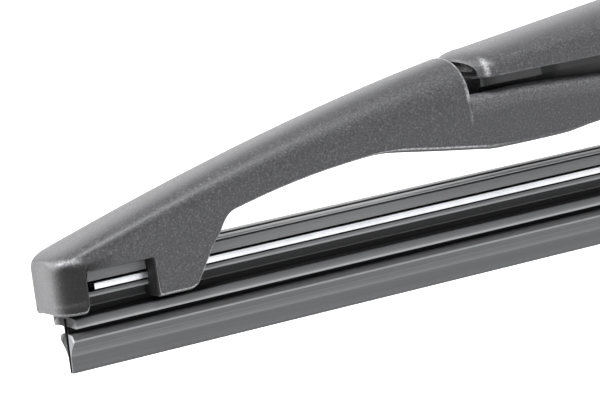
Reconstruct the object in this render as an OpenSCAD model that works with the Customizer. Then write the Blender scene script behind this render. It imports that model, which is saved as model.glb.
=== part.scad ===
// Rear wiper blade on its arm.
// Working frame: X runs along the blade from the rubber's outboard end towards the spindle,
// Z is the height above the glass. in_frame() then moves the origin to the spindle bore's mouth.

/* [Wiping rubber] */
// Length of the rubber refill
rubber_len = 200; // [150:1:350]
// Height from the lip's edge to the top of the head
rubber_h = 13.6; // [11:0.1:18]
// Thickness of the wiping lip
lip_t = 0.8; // [0.5:0.05:1.4]
// Width of the flange above the hinge neck
flange_w = 6.2; // [5:0.1:8]
// Width of the head that slides into the claws
head_w = 5.4; // [4.5:0.1:7]
// Width of the web between head and flange
web_w = 2.5; // [1.8:0.1:3.5]

/* [Flexor strips] */
// Thickness of each spring steel strip
flexor_t = 0.85; // [0.6:0.05:1.2]
// Width of each spring steel strip
flexor_w = 1.6; // [1:0.1:2.4]
// Distance of the strip's ends from the rubber's ends
flexor_inset = 3.6; // [1:0.1:8]

/* [Bridge] */
// Height of the crown over the outboard claw
cap_crown_z = 16.4; // [15:0.1:22]
// Height of the hump's rim where the arm's nose begins
rim_crown_z = 31.1; // [26:0.1:36]
// Position of the hump's rim along the blade
rim_x = 62.9; // [50:0.1:80]
// Half width at the claws
cap_hw = 5.2; // [4.6:0.1:7]
// Half width at the pivot
belly_hw = 6.4; // [5.8:0.1:9]
// Height of the claws' lower edge above the glass
claw_z = 8.2; // [8:0.1:9]
// Overhang of the end caps past the rubber
cap_over = 2.3; // [0.8:0.1:4]
// Plan radius of the end caps
cap_r = 2.8; // [1:0.1:4]
// Height of the lowest part of the belly
belly_z = 17.9; // [15:0.05:21]
// Height of the saddle walls beside the rim
saddle_z = 26.2; // [24:0.1:28]
// Length of the saddle pocket under the arm's nose
saddle_len = 50; // [36:1:60]
// Side wall thickness
bridge_wall = 1.6; // [1.2:0.1:2.4]
// Outboard edge of the claw window
window_x = 1.5; // [1:0.1:4]
// Length of the claw window
window_len = 10; // [6:0.1:14]
// Height of the claw window's upper edge
window_z = 13.45; // [12.5:0.05:15]
// Length of the inner claw leg
claw_len = 5.9; // [4:0.1:9]
// Radius of the rounded lower corner of each end cap
tab_r = 1.4; // [0.4:0.1:1.5]
// Thickness of the hump's and the tail's roof
roof_t = 2.6; // [1.8:0.1:3.5]

/* [Blade pivot] */
// Position of the pivot along the blade
pivot_x = 76; // [70:0.5:90]
// Height of the pivot above the glass
pivot_z = 21.8; // [20:0.1:24]
// Radius of the bridge pin
bridge_pin_r = 2; // [1.5:0.1:3]
// Radial running clearance of pins
run_gap = 0.05; // [0.02:0.01:0.1]
// Radial clearance of seated pins and bushes
seat_gap = 0.02; // [0.01:0.01:0.05]

/* [Arm] */
// Distance from the blade pivot to the spindle
arm_reach = 224; // [180:1:320]
// Front end of the nose behind the rim
nose_gap = 1.2; // [0.3:0.1:2]
// Height of the arm's lower edge at the nose
arm_edge_z = 27.9; // [27:0.1:30]
// Crown height of the arm just behind the nose
nose_crown_z = 31.6; // [31:0.1:35]
// Crown height at the arm's highest place
arm_crown_z = 43.3; // [40:0.1:50]
// Half width of the arm at the nose
nose_hw = 6.9; // [6.4:0.1:9]
// Half width of the arm at the hinge
arm_hw = 10.5; // [9:0.1:14]
// Wall thickness of the arm shell
arm_wall = 2.2; // [1.6:0.1:3]

/* [Arm hinge and head] */
// Distance from the hinge to the spindle
hinge_back = 32; // [30:0.5:40]
// Height of the hinge above the glass
hinge_z = 28; // [26:0.5:30]
// Radius of the hinge pin
hinge_pin_r = 2.25; // [2:0.05:3]
// Radius of the head's boss
boss_r = 12; // [10:0.5:16]
// Height of the head's foot above the glass
foot_z = 9; // [6:0.5:14]
// Radius of the spindle bore
spindle_r = 4.5; // [3.5:0.1:6]
// Depth of the spindle bore
spindle_len = 14; // [10:0.5:18]
// Wall of the knurled spindle bush
bush_wall = 2; // [1.5:0.1:3]
// Radius of the nut pocket above the bush
nut_r = 8.5; // [7.5:0.1:10]

/* [Spring and link] */
// Distance from hinge to link pin, away from the nose
link_back = 5.2; // [4:0.1:7]
// Distance of the link pin below the hinge
link_drop = 6.2; // [5:0.1:8]
// Radius of the link pin
link_pin_r = 1.6; // [1.2:0.1:2]
// Distance from the hinge to the spring's anchor pin
anchor_out = 68; // [60:1:100]
// Height of the anchor pin above the hinge
anchor_up = 9.6; // [6:0.1:12]
// Radius of the anchor pin
anchor_pin_r = 1.5; // [1:0.1:2]
// Mean radius of the spring's coils
coil_r = 2.4; // [2:0.1:3]
// Radius of the spring wire
wire_r = 0.55; // [0.4:0.05:0.8]
// Number of turns
turns = 32; // [20:1:40]

/* [Nut cover] */
// Height of the cover's top above the glass
cover_top_z = 38; // [36:0.5:44]
// Height of the cover's skirt above the glass
cover_skirt_z = 20; // [18:0.5:26]
// Wall thickness of the cover
cover_wall = 1.8; // [1.2:0.1:2.4]
// Distance from the cover's hinge to the spindle
cover_back = 13; // [12:0.5:16]
// Height of the cover's hinge above the glass
cover_hinge_z = 34; // [32:0.5:36]
// Radius of the cover's pin
cover_pin_r = 1.2; // [0.8:0.1:1.6]

/* [Hidden] */
$fn = 64;
eps = 0.01;
wide = 40;

spindle_x = pivot_x + arm_reach;
hinge_x = spindle_x - hinge_back;
link_x = hinge_x + link_back;
link_z = hinge_z - link_drop;
anchor_x = hinge_x - anchor_out;
anchor_z = hinge_z + anchor_up;
cover_x = spindle_x - cover_back;

// Rubber section heights, counted down from the top of the head
head_z = rubber_h;
slot_top_z = head_z - 1.7;
slot_z = head_z - 2.95;
head_low_z = head_z - 3.65;
flange_top_z = head_z - 5.75;
flange_z = flange_top_z - 1.55;
shoulder_z = flange_z - 1.4;
lip_root_z = shoulder_z - 2.4;
slot_y = head_w / 2 - flexor_w + 0.1;
flexor_z = slot_z + seat_gap;

// Channel in the claws
channel_hw = head_w / 2 + 0.35;
channel_z = head_low_z - 0.3;
channel_top_z = head_z + 0.35;
claw_slot_hw = web_w / 2 + 0.25;
claw_x = window_x + window_len;
claw_end_x = claw_x + claw_len;
end_gap = 0.2;
channel_len = end_gap + claw_end_x + 8;

// Saddle, pivot clip and nose
pocket_hw = belly_hw - bridge_wall;
tail_roof_t = roof_t - 0.7;
step_t = 0.3;
nose_x = rim_x + nose_gap;
nose_cavity_x = nose_x + 3.9;
nose_cavity_end = pivot_x + 20;
nose_cavity_z = arm_edge_z + 1.9;
nose_cavity_hw = 4.7;
band_z = arm_edge_z - 1.4;
band_step_x = pivot_x + 0.6;
band_front_x = nose_x + 2;
clip_low_z = pivot_z + bridge_pin_r;
clip_hw = nose_cavity_hw - 0.3;
clip_rear_hw = clip_hw - 0.6;
jaw_hw = 3;
jaw_r = bridge_pin_r + 1.8;
boss_y = jaw_hw + 0.2;
pin_boss_r = bridge_pin_r + 1.4;

// Head and hinge
arm_end_x = hinge_x + 6;
lug_hw = arm_hw - arm_wall - 0.5;
lug_r = 6.5;
neck_hw = 6.8;
neck_z = 17;
lug_end_x = hinge_x + 13;
link_slot_hw = 2.2;
bush_r = spindle_r + bush_wall;
foot_top_z = foot_z + spindle_len;
boss_top_z = foot_top_z + 4;

// Moves the working frame to the spindle bore's mouth
module in_frame() translate([-spindle_x, 0, -foot_z]) children();

// Bar with the given side outline, symmetrical about the blade's middle plane
module side_bar(half_w) rotate([90, 0, 0]) linear_extrude(2 * half_w, center = true) children();

// Round bar across the blade
module cross_pin(x, z, r, half_w) translate([x, 0, z]) rotate([90, 0, 0]) cylinder(r = r, h = 2 * half_w, center = true);

// Smooth curve from (x0, z0) to (x1, z1) with slopes s0 and s1
function curve(x, x0, z0, s0, x1, z1, s1) =
  let (d = x1 - x0, t = (x - x0) / d)
  (2 * t * t * t - 3 * t * t + 1) * z0 + (t * t * t - 2 * t * t + t) * d * s0
  + (3 * t * t - 2 * t * t * t) * z1 + (t * t * t - t * t) * d * s1;

// Arched section at x: half width w, crown top, arch depth, squareness p and lower edge
arch_n = 12;
function arch(x, w, top, depth, p, low) = concat(
  [for (i = [0:arch_n])
    let (a = 180 * i / arch_n, c = cos(a), s = sin(a))
    [x, w * sign(c) * pow(abs(c), 2 / p), top - depth + depth * pow(abs(s), 2 / p)]],
  [[x, -w, low], [x, w, low]]);

// Skin through a list of sections that all have the same number of points
module loft(rings) {
  m = len(rings[0]);
  n = len(rings);
  points = [for (ring = rings) for (p = ring) p];
  first = [for (j = [0:m - 1]) j];
  last = [for (j = [m - 1:-1:0]) (n - 1) * m + j];
  walls = [for (i = [0:n - 2]) for (j = [0:m - 1]) for (k = [0, 1])
    let (a = i * m + j, b = i * m + (j + 1) % m, c = a + m, d = b + m)
    k == 0 ? [a, c, b] : [b, c, d]];
  polyhedron(points = points, faces = concat([first], walls, [last]), convexity = 6);
}

// Bridge skin: crown height, half width and depth of the arch along the blade
bridge_start = -cap_over;
bridge_end = rubber_len + cap_over;
function hump_top(x) = curve(x, 0, cap_crown_z, 0.31, rim_x, rim_crown_z, 0.15);
function tail_top(x) = curve(x, rim_x, saddle_z, -0.055, rubber_len, cap_crown_z - 0.6, -0.12);
function bridge_hw(x) = x < rim_x
  ? curve(x, claw_end_x, cap_hw, 0, rim_x, belly_hw, 0.02)
  : curve(x, nose_cavity_end, belly_hw, 0, rubber_len - claw_end_x, cap_hw, 0);
function clamp(x, lo, hi) = min(max(x, lo), hi);
function hump_ring(x, in_hw, in_top) =
  let (t = clamp(x / rim_x, 0, 1))
  arch(x, bridge_hw(max(x, claw_end_x)) - in_hw, hump_top(x) - in_top, 1.95 + 3.85 * t - in_top, 2.7 - 0.6 * t, claw_z);
function tail_ring(x, in_hw, in_top) =
  arch(x, bridge_hw(clamp(x, nose_cavity_end, rubber_len - claw_end_x)) - in_hw, tail_top(x) - in_top,
    tail_roof_t - in_top / 2, 3, claw_z);
cap_steps = 4;
cap_top_r = 0.5;
function round_in(i) = 1 - cos(90 * i / cap_steps);
function round_off(i) = 1 - sin(90 * i / cap_steps);

module bridge_skin() {
  hump_n = 20;
  tail_n = 22;
  skin_from = bridge_start + cap_r;
  skin_to = bridge_end - cap_r;
  loft(concat(
    [for (i = [0:cap_steps]) hump_ring(bridge_start + cap_r * round_in(i), cap_r * round_off(i), cap_top_r * round_off(i))],
    [for (i = [1:hump_n]) hump_ring(skin_from + (rim_x - step_t - skin_from) * i / hump_n, 0, 0)],
    [for (i = [0:tail_n]) tail_ring(rim_x + (skin_to - rim_x) * i / tail_n, 0, 0)],
    [for (i = [cap_steps - 1:-1:0]) tail_ring(bridge_end - cap_r * round_in(i), cap_r * round_off(i), cap_top_r * round_off(i))]));
}

// Open space between bridge and rubber: from the outboard claw over the arch to the belly
arch_out = [[claw_end_x - 0.6, claw_z], [claw_end_x + 0.2, claw_z + 0.5], [claw_end_x + 1.6, 10.9], [claw_end_x + 2.9, 13],
  [claw_end_x + 4.3, 14.6], [claw_end_x + 5.2, 16], [claw_end_x + 6.3, 17.05], [claw_end_x + 7.9, 17.55],
  [31.6, 18.85], [37.9, 19.8], [44.2, 20.42], [47.5, 20.5], [50.6, 20.15], [56.9, 19.2], [63.4, 18.3], [66.8, belly_z]];
tail_claw_x = rubber_len - claw_end_x;
arch_in = [[pivot_x + 1.2, belly_z], [80.7, 18.2], [84.1, 18.6], [96, 19.3], [112, 19.4], [130, 18.6], [150, 17.1], [166, 15.2],
  [tail_claw_x - 4.5, 13.4], [tail_claw_x - 2.6, 12], [tail_claw_x - 0.2, claw_z + 0.5], [tail_claw_x + 0.6, claw_z]];
module arch_gap() side_bar(wide) polygon(concat([[claw_end_x - 0.6, claw_z - 5]], arch_out, arch_in,
  [[tail_claw_x + 0.6, claw_z - 5]]));

// Places its children at the outboard end and mirrored at the other end
module at_both_ends() {
  children();
  translate([rubber_len, 0, 0]) mirror([1, 0, 0]) children();
}

// Channel for the rubber's head, with the slot between the claws' lips
module claw_channel() translate([-end_gap, 0, 0]) {
  translate([0, -channel_hw, channel_z]) cube([channel_len, 2 * channel_hw, channel_top_z - channel_z]);
  translate([0, -claw_slot_hw, claw_z - 1]) cube([channel_len, 2 * claw_slot_hw, channel_z - claw_z + 1 + eps]);
}
module claw_window() side_bar(wide) {
  translate([window_x, claw_z - 1]) square([window_len, window_z - claw_z + 1]);
  difference() {
    translate([window_x - tab_r, claw_z - 1]) square([tab_r + eps, tab_r + 1]);
    translate([window_x - tab_r, claw_z + tab_r]) circle(r = tab_r);
  }
}

// Hollow under the hump and under the tail
hollow_hw = cap_hw - bridge_wall;
hump_from = claw_end_x + 7;
hump_len = rim_x - 2.2 - hump_from;
tail_from = rim_x + saddle_len + 3;
tail_len = tail_claw_x - 6 - tail_from;
module hump_hollow() side_bar(hollow_hw) polygon(concat(
  [[hump_from - 2, claw_z]],
  [for (i = [0:5]) let (x = hump_from + hump_len * i / 5) [x, hump_top(x) - roof_t]],
  [[hump_from + hump_len, claw_z]]));
module tail_hollow() side_bar(hollow_hw) polygon(concat(
  [[tail_from, claw_z]],
  [for (i = [0:4]) let (x = tail_from + tail_len * i / 4) [x, tail_top(x) - tail_roof_t]],
  [[tail_from + tail_len, claw_z]]));

module blade_bridge() color([0.16, 0.16, 0.17]) in_frame() {
  difference() {
    bridge_skin();
    arch_gap();
    at_both_ends() {
      claw_channel();
      claw_window();
    }
    hump_hollow();
    tail_hollow();
    translate([rim_x, -pocket_hw, claw_z]) cube([saddle_len, 2 * pocket_hw, rim_crown_z]);
  }
  difference() {
    for (side = [-1, 1])
      translate([pivot_x, side * (boss_y + pocket_hw) / 2, pivot_z])
        rotate([90, 0, 0]) cylinder(r = pin_boss_r, h = pocket_hw - boss_y + 2 * eps, center = true);
    cross_pin(pivot_x, pivot_z, bridge_pin_r + seat_gap, pocket_hw);
  }
}

// Half outline of the rubber from the lip's edge up to the top of the head
rubber_half = [[lip_t / 2 - 0.05, 0], [lip_t / 2 + 0.05, lip_root_z - 0.1], [0.75, lip_root_z + 0.5], [1.1, shoulder_z - 1.3],
  [1.6, shoulder_z - 0.75], [1.95, shoulder_z - 0.4], [2.0, shoulder_z - 0.05], [1.65, shoulder_z + 0.45],
  [0.45, shoulder_z + 0.6], [0.45, flange_z + 0.2], [1.2, flange_z + 0.3], [flange_w / 2 - 0.1, flange_z],
  [flange_w / 2, flange_z + 0.25], [flange_w / 2, flange_top_z - 0.35], [flange_w / 2 - 0.3, flange_top_z],
  [web_w / 2 + 0.2, flange_top_z + 0.1], [web_w / 2, flange_top_z + 0.4], [web_w / 2, head_low_z - 0.3],
  [web_w / 2 + 0.3, head_low_z], [head_w / 2 - 0.05, head_low_z + 0.1], [head_w / 2, head_low_z + 0.3],
  [head_w / 2, slot_z], [slot_y - 0.1, slot_z], [slot_y - 0.1, slot_top_z], [head_w / 2, slot_top_z],
  [head_w / 2, head_z - 0.45], [head_w / 2 - 0.25, head_z - 0.35], [head_w / 2 - 0.3, head_z - 0.1],
  [head_w / 2 - 0.6, head_z], [1.3, head_z], [0, head_z - 0.2]];

module wiper_rubber() color([0.09, 0.09, 0.1]) in_frame()
  rotate([90, 0, 90]) linear_extrude(rubber_len)
    polygon(concat(rubber_half, [for (i = [len(rubber_half) - 2:-1:0]) [-rubber_half[i][0], rubber_half[i][1]]]));

module flexor(side) in_frame()
  translate([flexor_inset, side > 0 ? slot_y : -slot_y - flexor_w, flexor_z])
    cube([rubber_len - 2 * flexor_inset, flexor_w, flexor_t]);
module flexor_front() color([0.8, 0.81, 0.82]) flexor(-1);
module flexor_rear() color([0.8, 0.81, 0.82]) flexor(1);

module bridge_pin() color([0.7, 0.7, 0.72]) in_frame() cross_pin(pivot_x, pivot_z, bridge_pin_r, pocket_hw - seat_gap);

// Clip in the nose: a flange seen as the dark band under the arm, a body between the saddle's walls, and a jaw on the bridge pin
module pivot_clip() color([0.12, 0.12, 0.13]) in_frame() difference() {
  union() {
    translate([nose_cavity_x + 0.1, -clip_hw, band_z]) cube([band_step_x - nose_cavity_x - 0.1, 2 * clip_hw, nose_cavity_z - band_z]);
    translate([band_front_x, -clip_hw, band_z]) cube([nose_cavity_x + 0.2 - band_front_x, 2 * clip_hw, arm_edge_z - 0.1 - band_z]);
    translate([band_step_x - eps, -clip_rear_hw, band_z])
      cube([nose_cavity_end - 0.5 - band_step_x, 2 * clip_rear_hw, nose_cavity_z - band_z]);
    translate([band_front_x + step_t, -jaw_hw, clip_low_z])
      cube([nose_cavity_end - 0.5 - step_t - band_front_x, 2 * jaw_hw, band_z - clip_low_z + eps]);
    translate([pivot_x - jaw_r, -jaw_hw, pivot_z]) cube([2 * jaw_r, 2 * jaw_hw, band_z - pivot_z + eps]);
    cross_pin(pivot_x, pivot_z, jaw_r, jaw_hw);
  }
  cross_pin(pivot_x, pivot_z, bridge_pin_r + run_gap, jaw_hw + 1);
}

// Arm skin along its length
arm_peak_x = hinge_x - 78;
dip_x = hinge_x - 63;
dip_z = arm_edge_z + 4.9;
nose_brow_x = nose_x + 3.4;
function arm_top(x) = x < arm_peak_x
  ? curve(x, nose_brow_x, nose_crown_z, 0.12, arm_peak_x, arm_crown_z, 0.04)
  : curve(x, arm_peak_x, arm_crown_z, 0.04, arm_end_x, arm_crown_z - 2.8, -0.12);
function arm_low(x) = x < nose_cavity_end - 4 ? arm_edge_z
  : x < dip_x ? curve(x, nose_cavity_end - 4, arm_edge_z, 0.02, dip_x, dip_z, 0)
  : curve(x, dip_x, dip_z, 0, arm_end_x, neck_z, -0.04);
function arm_w(x) = nose_hw + (arm_hw - nose_hw) * (x - nose_x) / (hinge_x - nose_x);
function arm_depth(x) = curve(x, nose_x, 3.0, 0.03, arm_end_x, 6, 0);
nose_r = 4;
nose_top_r = 1;
function arm_ring(x, in_hw, in_top) =
  arch(x, arm_w(x) - in_hw, arm_top(max(x, nose_brow_x)) - max(0, nose_brow_x - x) * 0.12 - in_top,
    arm_depth(x) - in_top, 2.2, arm_low(x));
module arm_skin() {
  arm_n = 34;
  arm_from = nose_x + nose_r;
  loft(concat(
    [for (i = [0:cap_steps]) arm_ring(nose_x + nose_r * round_in(i), nose_r * round_off(i), nose_top_r * round_off(i))],
    [for (i = [1:arm_n]) arm_ring(arm_from + (arm_end_x - arm_from) * i / arm_n, 0, 0)]));
}
function arm_inner_ring(x) = arch(x, arm_w(x) - arm_wall, arm_top(x) - arm_wall, arm_depth(x) - arm_wall / 2, 3, arm_low(x) - 4);
module arm_hollow() {
  hollow_n = 14;
  from = nose_cavity_end + 2;
  loft([for (i = [0:hollow_n]) arm_inner_ring(from + (arm_end_x + 1 - from) * i / hollow_n)]);
}
module arm_shell() color([0.17, 0.17, 0.18]) in_frame() difference() {
  arm_skin();
  arm_hollow();
  translate([nose_cavity_x, -nose_cavity_hw, arm_edge_z - 5])
    cube([nose_cavity_end - nose_cavity_x, 2 * nose_cavity_hw, nose_cavity_z - arm_edge_z + 5]);
  cross_pin(nose_x - 0.3, arm_edge_z - 0.2, 3.3, wide / 2);
  cross_pin(hinge_x, hinge_z, hinge_pin_r + seat_gap, wide / 2);
  cross_pin(anchor_x, anchor_z, anchor_pin_r + seat_gap, arm_w(anchor_x) - 1);
}

module arm_hinge_pin() color([0.7, 0.7, 0.72]) in_frame() cross_pin(hinge_x, hinge_z, hinge_pin_r, arm_hw - 0.3);
module spring_anchor_pin() color([0.7, 0.7, 0.72]) in_frame()
  cross_pin(anchor_x, anchor_z, anchor_pin_r, arm_w(anchor_x) - 1.05);

// Line of the spring from the link pin to the anchor pin
line_angle = atan((anchor_z - link_z) / (link_x - anchor_x));
line_len = norm([anchor_z - link_z, link_x - anchor_x]);
link_hole = link_back + link_drop + 8.6;
link_t = link_pin_r * 0.75;
link_eye_r = link_pin_r + 1.4;
link_arc_x = norm([link_back, link_drop]);
link_dip = 0.6;
link_arc_r = hinge_pin_r + 3.25;
link_arc_in_r = hinge_pin_r + 1.05;
link_bar_x = link_arc_x + link_arc_in_r;
link_hw = link_arc_r - link_arc_in_r;
hook_r = anchor_pin_r + wire_r + 0.15;
// Places its children on the spring's line: first axis from the link pin towards the anchor pin
module on_line() translate([link_x, 0, link_z]) rotate([0, line_angle, 0]) mirror([1, 0, 0]) children();

module spring_link() color([0.6, 0.6, 0.62]) in_frame() on_line() side_bar(link_t) difference() {
  union() {
    circle(r = link_eye_r);
    translate([0, -link_eye_r]) square([link_arc_x - link_arc_in_r - 0.3, link_eye_r]);
    translate([link_arc_x, -link_dip]) difference() {
      circle(r = link_arc_r);
      translate([-link_arc_r, 0]) square(2 * link_arc_r);
    }
    translate([link_bar_x, -link_hw]) square([link_hole - link_bar_x, 2 * link_hw]);
    translate([link_hole, 0]) circle(r = link_hw);
  }
  circle(r = link_pin_r + run_gap);
  translate([link_arc_x, -link_dip]) circle(r = link_arc_in_r);
  translate([link_hole, 0]) circle(r = wire_r + 0.3);
}

// Spring wire: eye round the anchor pin, coils, and a hook into the link's hole
coil_from = link_hole + 5;
coil_to = line_len - 5.5;
turn_n = 10;
function eye_point(a) = [line_len + hook_r * cos(a), 0, hook_r * sin(a)];
spring_path = concat(
  [[link_hole, -link_t - 1.2, 0], [link_hole, 0, 0], [link_hole, link_t + 0.7, 0], [link_hole + 0.9, link_t + 1.3, 0],
   [coil_from - 1.2, coil_r, 0]],
  [for (i = [0:turns * turn_n])
    let (a = 360 * i / turn_n, s = coil_from + (coil_to - coil_from) * i / (turns * turn_n))
    [s, coil_r * cos(a), coil_r * sin(a)]],
  [[coil_to + 1.4, coil_r * 0.7, -0.9], [coil_to + 2.4, 0.3, -1.8]],
  [for (a = [-130:30:140]) eye_point(a)]);
function unit(v) = v / norm(v);
module wire(path, r, sides) {
  n = len(path);
  loft([for (i = [0:n - 1])
    let (t = unit(path[min(i + 1, n - 1)] - path[max(i - 1, 0)]),
      ref = abs(t[0]) > 0.85 ? [0, 0, 1] : [1, 0, 0],
      u = unit(cross(ref, t)), v = cross(t, u))
    [for (j = [0:sides - 1]) path[i] + r * (cos(360 * j / sides) * u + sin(360 * j / sides) * v)]]);
}
module tension_spring() color([0.55, 0.55, 0.57]) in_frame() on_line() wire(spring_path, wire_r, 6);

module link_pin() color([0.7, 0.7, 0.72]) in_frame() cross_pin(link_x, link_z, link_pin_r, lug_hw - 0.4);

// Head: boss round the spindle bush, neck, two hinge lugs and the ear of the nut cover
ear_r = 2.6;
ear_hw = 5;
module arm_head() color([0.2, 0.2, 0.21]) in_frame() difference() {
  union() {
    translate([spindle_x, 0, foot_z]) cylinder(r = boss_r, h = boss_top_z - foot_z);
    cross_pin(hinge_x, hinge_z, lug_r, lug_hw);
    translate([hinge_x - lug_r, -lug_hw, neck_z]) cube([lug_end_x - hinge_x + lug_r, 2 * lug_hw, hinge_z - neck_z]);
    translate([hinge_x, -neck_hw, neck_z]) cube([spindle_x - hinge_x, 2 * neck_hw, boss_top_z - neck_z]);
    cross_pin(cover_x, cover_hinge_z, ear_r, ear_hw);
    translate([cover_x - ear_r, -ear_hw, boss_top_z - 1]) cube([2 * ear_r, 2 * ear_hw, cover_hinge_z - boss_top_z + 1]);
  }
  translate([hinge_x - wide / 2, -link_slot_hw, neck_z - 1])
    cube([wide / 2 + 11, 2 * link_slot_hw, wide]);
  cross_pin(hinge_x, hinge_z, hinge_pin_r + run_gap, wide / 2);
  cross_pin(link_x, link_z, link_pin_r + seat_gap, lug_hw - 0.3);
  cross_pin(cover_x, cover_hinge_z, cover_pin_r + seat_gap, wide / 2);
  translate([spindle_x, 0, foot_z - 1]) cylinder(r = bush_r + seat_gap, h = spindle_len + 2);
  translate([spindle_x, 0, foot_top_z]) cylinder(r = nut_r, h = wide);
}

module spindle_bush() color([0.62, 0.5, 0.3]) in_frame() translate([spindle_x, 0, foot_z]) difference() {
  cylinder(r = bush_r, h = spindle_len);
  translate([0, 0, -1]) cylinder(r = spindle_r, h = spindle_len + 2);
}

// Nut cover: a cap that tips back on its pin
cover_r = boss_r + 0.8 + cover_wall;
cover_side_hw = neck_hw + 0.9 + cover_wall;
cover_front_x = cover_x - 1.5;
cover_low_z = boss_top_z + 0.6;
cover_rake = 6;
ear_gap = 0.3;
ear_gap_hw = ear_hw + ear_gap;
dome_r = 60;
module cover_plan(inset) {
  circle(r = cover_r - inset);
  translate([cover_front_x - spindle_x + inset, -cover_side_hw + inset])
    square([spindle_x - cover_front_x - inset, 2 * (cover_side_hw - inset)]);
}
module cover_block(inset) intersection() {
  translate([spindle_x, 0, cover_skirt_z - (inset > 0 ? 1 : 0)]) linear_extrude(cover_top_z) cover_plan(inset);
  cross_pin(spindle_x, cover_top_z - dome_r, dome_r - inset, wide);
}
module nut_cover() color([0.16, 0.16, 0.17]) in_frame() difference() {
  union() {
    difference() {
      cover_block(0);
      cover_block(cover_wall);
      side_bar(wide) polygon([[cover_front_x - 1, cover_skirt_z - 1], [spindle_x + cover_rake, cover_skirt_z - 1],
        [spindle_x, cover_low_z], [cover_front_x - 1, cover_low_z]]);
    }
    for (side = [-1, 1])
      translate([cover_x, side * (ear_gap_hw + cover_side_hw - ear_gap) / 2, cover_hinge_z])
        rotate([90, 0, 0]) cylinder(r = ear_r - 0.2, h = cover_side_hw - ear_gap_hw - ear_gap, center = true);
  }
  translate([cover_front_x - 1, -ear_gap_hw, boss_top_z])
    cube([1 + cover_x + ear_r + 0.4 - cover_front_x, 2 * ear_gap_hw, wide]);
  cross_pin(cover_x, cover_hinge_z, cover_pin_r + run_gap, wide / 2);
}
module cover_pin() color([0.7, 0.7, 0.72]) in_frame() cross_pin(cover_x, cover_hinge_z, cover_pin_r, cover_side_hw - 0.2);

blade_bridge();
wiper_rubber();
flexor_front();
flexor_rear();
bridge_pin();
pivot_clip();
arm_shell();
arm_hinge_pin();
spring_anchor_pin();
tension_spring();
spring_link();
link_pin();
arm_head();
spindle_bush();
nut_cover();
cover_pin();
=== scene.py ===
# %% [markdown]
# # A rear wiper blade on its arm
# The object is a moulded rear wiper: a rubber refill with two bright steel strips, an arched bridge
# that grips it with claws, and a moulded arm whose nose clips into the bridge behind the hump.
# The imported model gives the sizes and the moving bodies. This lesson dresses it: each piece is
# modelled again with its true edges and then gets the finish of its real material.
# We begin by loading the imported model, because every later piece is placed by it.

import math

import bmesh
import bpy
from mathutils import Matrix, Vector


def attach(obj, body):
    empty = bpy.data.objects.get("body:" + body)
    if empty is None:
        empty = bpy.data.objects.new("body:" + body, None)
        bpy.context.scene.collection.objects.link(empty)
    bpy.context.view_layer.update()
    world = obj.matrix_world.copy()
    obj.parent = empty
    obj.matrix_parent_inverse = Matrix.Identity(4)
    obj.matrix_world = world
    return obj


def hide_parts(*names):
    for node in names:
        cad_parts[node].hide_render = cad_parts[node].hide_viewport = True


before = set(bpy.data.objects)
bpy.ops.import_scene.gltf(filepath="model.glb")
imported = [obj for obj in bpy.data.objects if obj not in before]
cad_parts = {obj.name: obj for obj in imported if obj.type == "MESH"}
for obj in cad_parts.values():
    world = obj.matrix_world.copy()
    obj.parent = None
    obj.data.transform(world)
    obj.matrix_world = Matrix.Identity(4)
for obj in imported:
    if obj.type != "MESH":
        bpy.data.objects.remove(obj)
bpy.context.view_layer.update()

# %% [markdown]
# ## Sizes
# All sizes are written in millimetres along the blade: x starts at the rubber's outboard end, y runs
# across, and z is the height above the glass. One function turns such a point into the part's frame,
# which is in metres and starts at the mouth of the spindle bore. Writing the numbers this way keeps
# them readable against a drawing.

# %% Sizes and the way from millimetres to the part's frame
SPINDLE_X, FOOT_Z = 300.0, 9.0
RUBBER_LEN, RIM_X, SADDLE_END = 200.0, 62.9, 112.9
PIVOT_X, PIVOT_Z = 76.0, 21.8
HINGE_X, HINGE_Z = 268.0, 28.0
LINK_PIN_X, LINK_PIN_Z = 273.2, 21.8
ANCHOR_X, ANCHOR_Z = 200.0, 37.6
COVER_X, COVER_Z = 287.0, 34.0


def placed(x, y, z):
    """A point of the drawing in the part's frame, in metres."""
    return ((x - SPINDLE_X) / 1000, y / 1000, (z - FOOT_Z) / 1000)


print("blade spans", placed(0, 0, 0)[0], "to", placed(RUBBER_LEN, 0, 0)[0])

# %% [markdown]
# ## Smooth lines
# A moulding is drawn with smooth lines between a few known places. Three rules do that all through
# the lesson: a curve between two places with given slopes, a soft step, and the fall of a rounded
# corner. Blender's curve objects could draw the same lines, but a plain function can be asked for
# its height at any place, and the sections below need just that.

# %% Curve, soft step and rounded corner
def curve(x, x0, z0, s0, x1, z1, s1):
    """Height of a smooth line from (x0, z0) with slope s0 to (x1, z1) with slope s1."""
    d = x1 - x0
    t = (x - x0) / d
    return ((2 * t**3 - 3 * t**2 + 1) * z0 + (t**3 - 2 * t**2 + t) * d * s0
            + (3 * t**2 - 2 * t**3) * z1 + (t**3 - t**2) * d * s1)


def fade(v, low, high):
    """0 below low, 1 above high, and smooth between."""
    t = min(max((v - low) / (high - low), 0.0), 1.0)
    return t * t * (3 - 2 * t)


def roundness(v, edge, radius):
    """How far a corner of that radius has fallen away at v, counted from 0 at edge to 1 at its end."""
    t = min(max((v - edge) / radius, 0.0), 1.0)
    return 1 - math.sqrt(1 - t * t)


print("a rounded corner falls", round(roundness(0.5, 0, 1), 3), "of its radius halfway")

# %% [markdown]
# ## From sections to a mesh
# Both big mouldings are shells with a mirror plane along the blade. Each is described by half
# sections: a row of points from the crown, down the side, round the lower edge and up the inner wall
# to the roof's underside. Joining neighbouring sections gives clean four-sided faces that follow the
# edges of the moulding, and mirroring closes the shell. A Boolean cut could make the same shape, but
# it leaves long thin faces at every edge, and the small radii along the edges are what the light
# picks out on a moulding.

# %% Mesh helpers
def new_object(name, mesh):
    """Links a mesh object at the origin of the scene."""
    obj = bpy.data.objects.new(name, mesh)
    bpy.context.scene.collection.objects.link(obj)
    return obj


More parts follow.
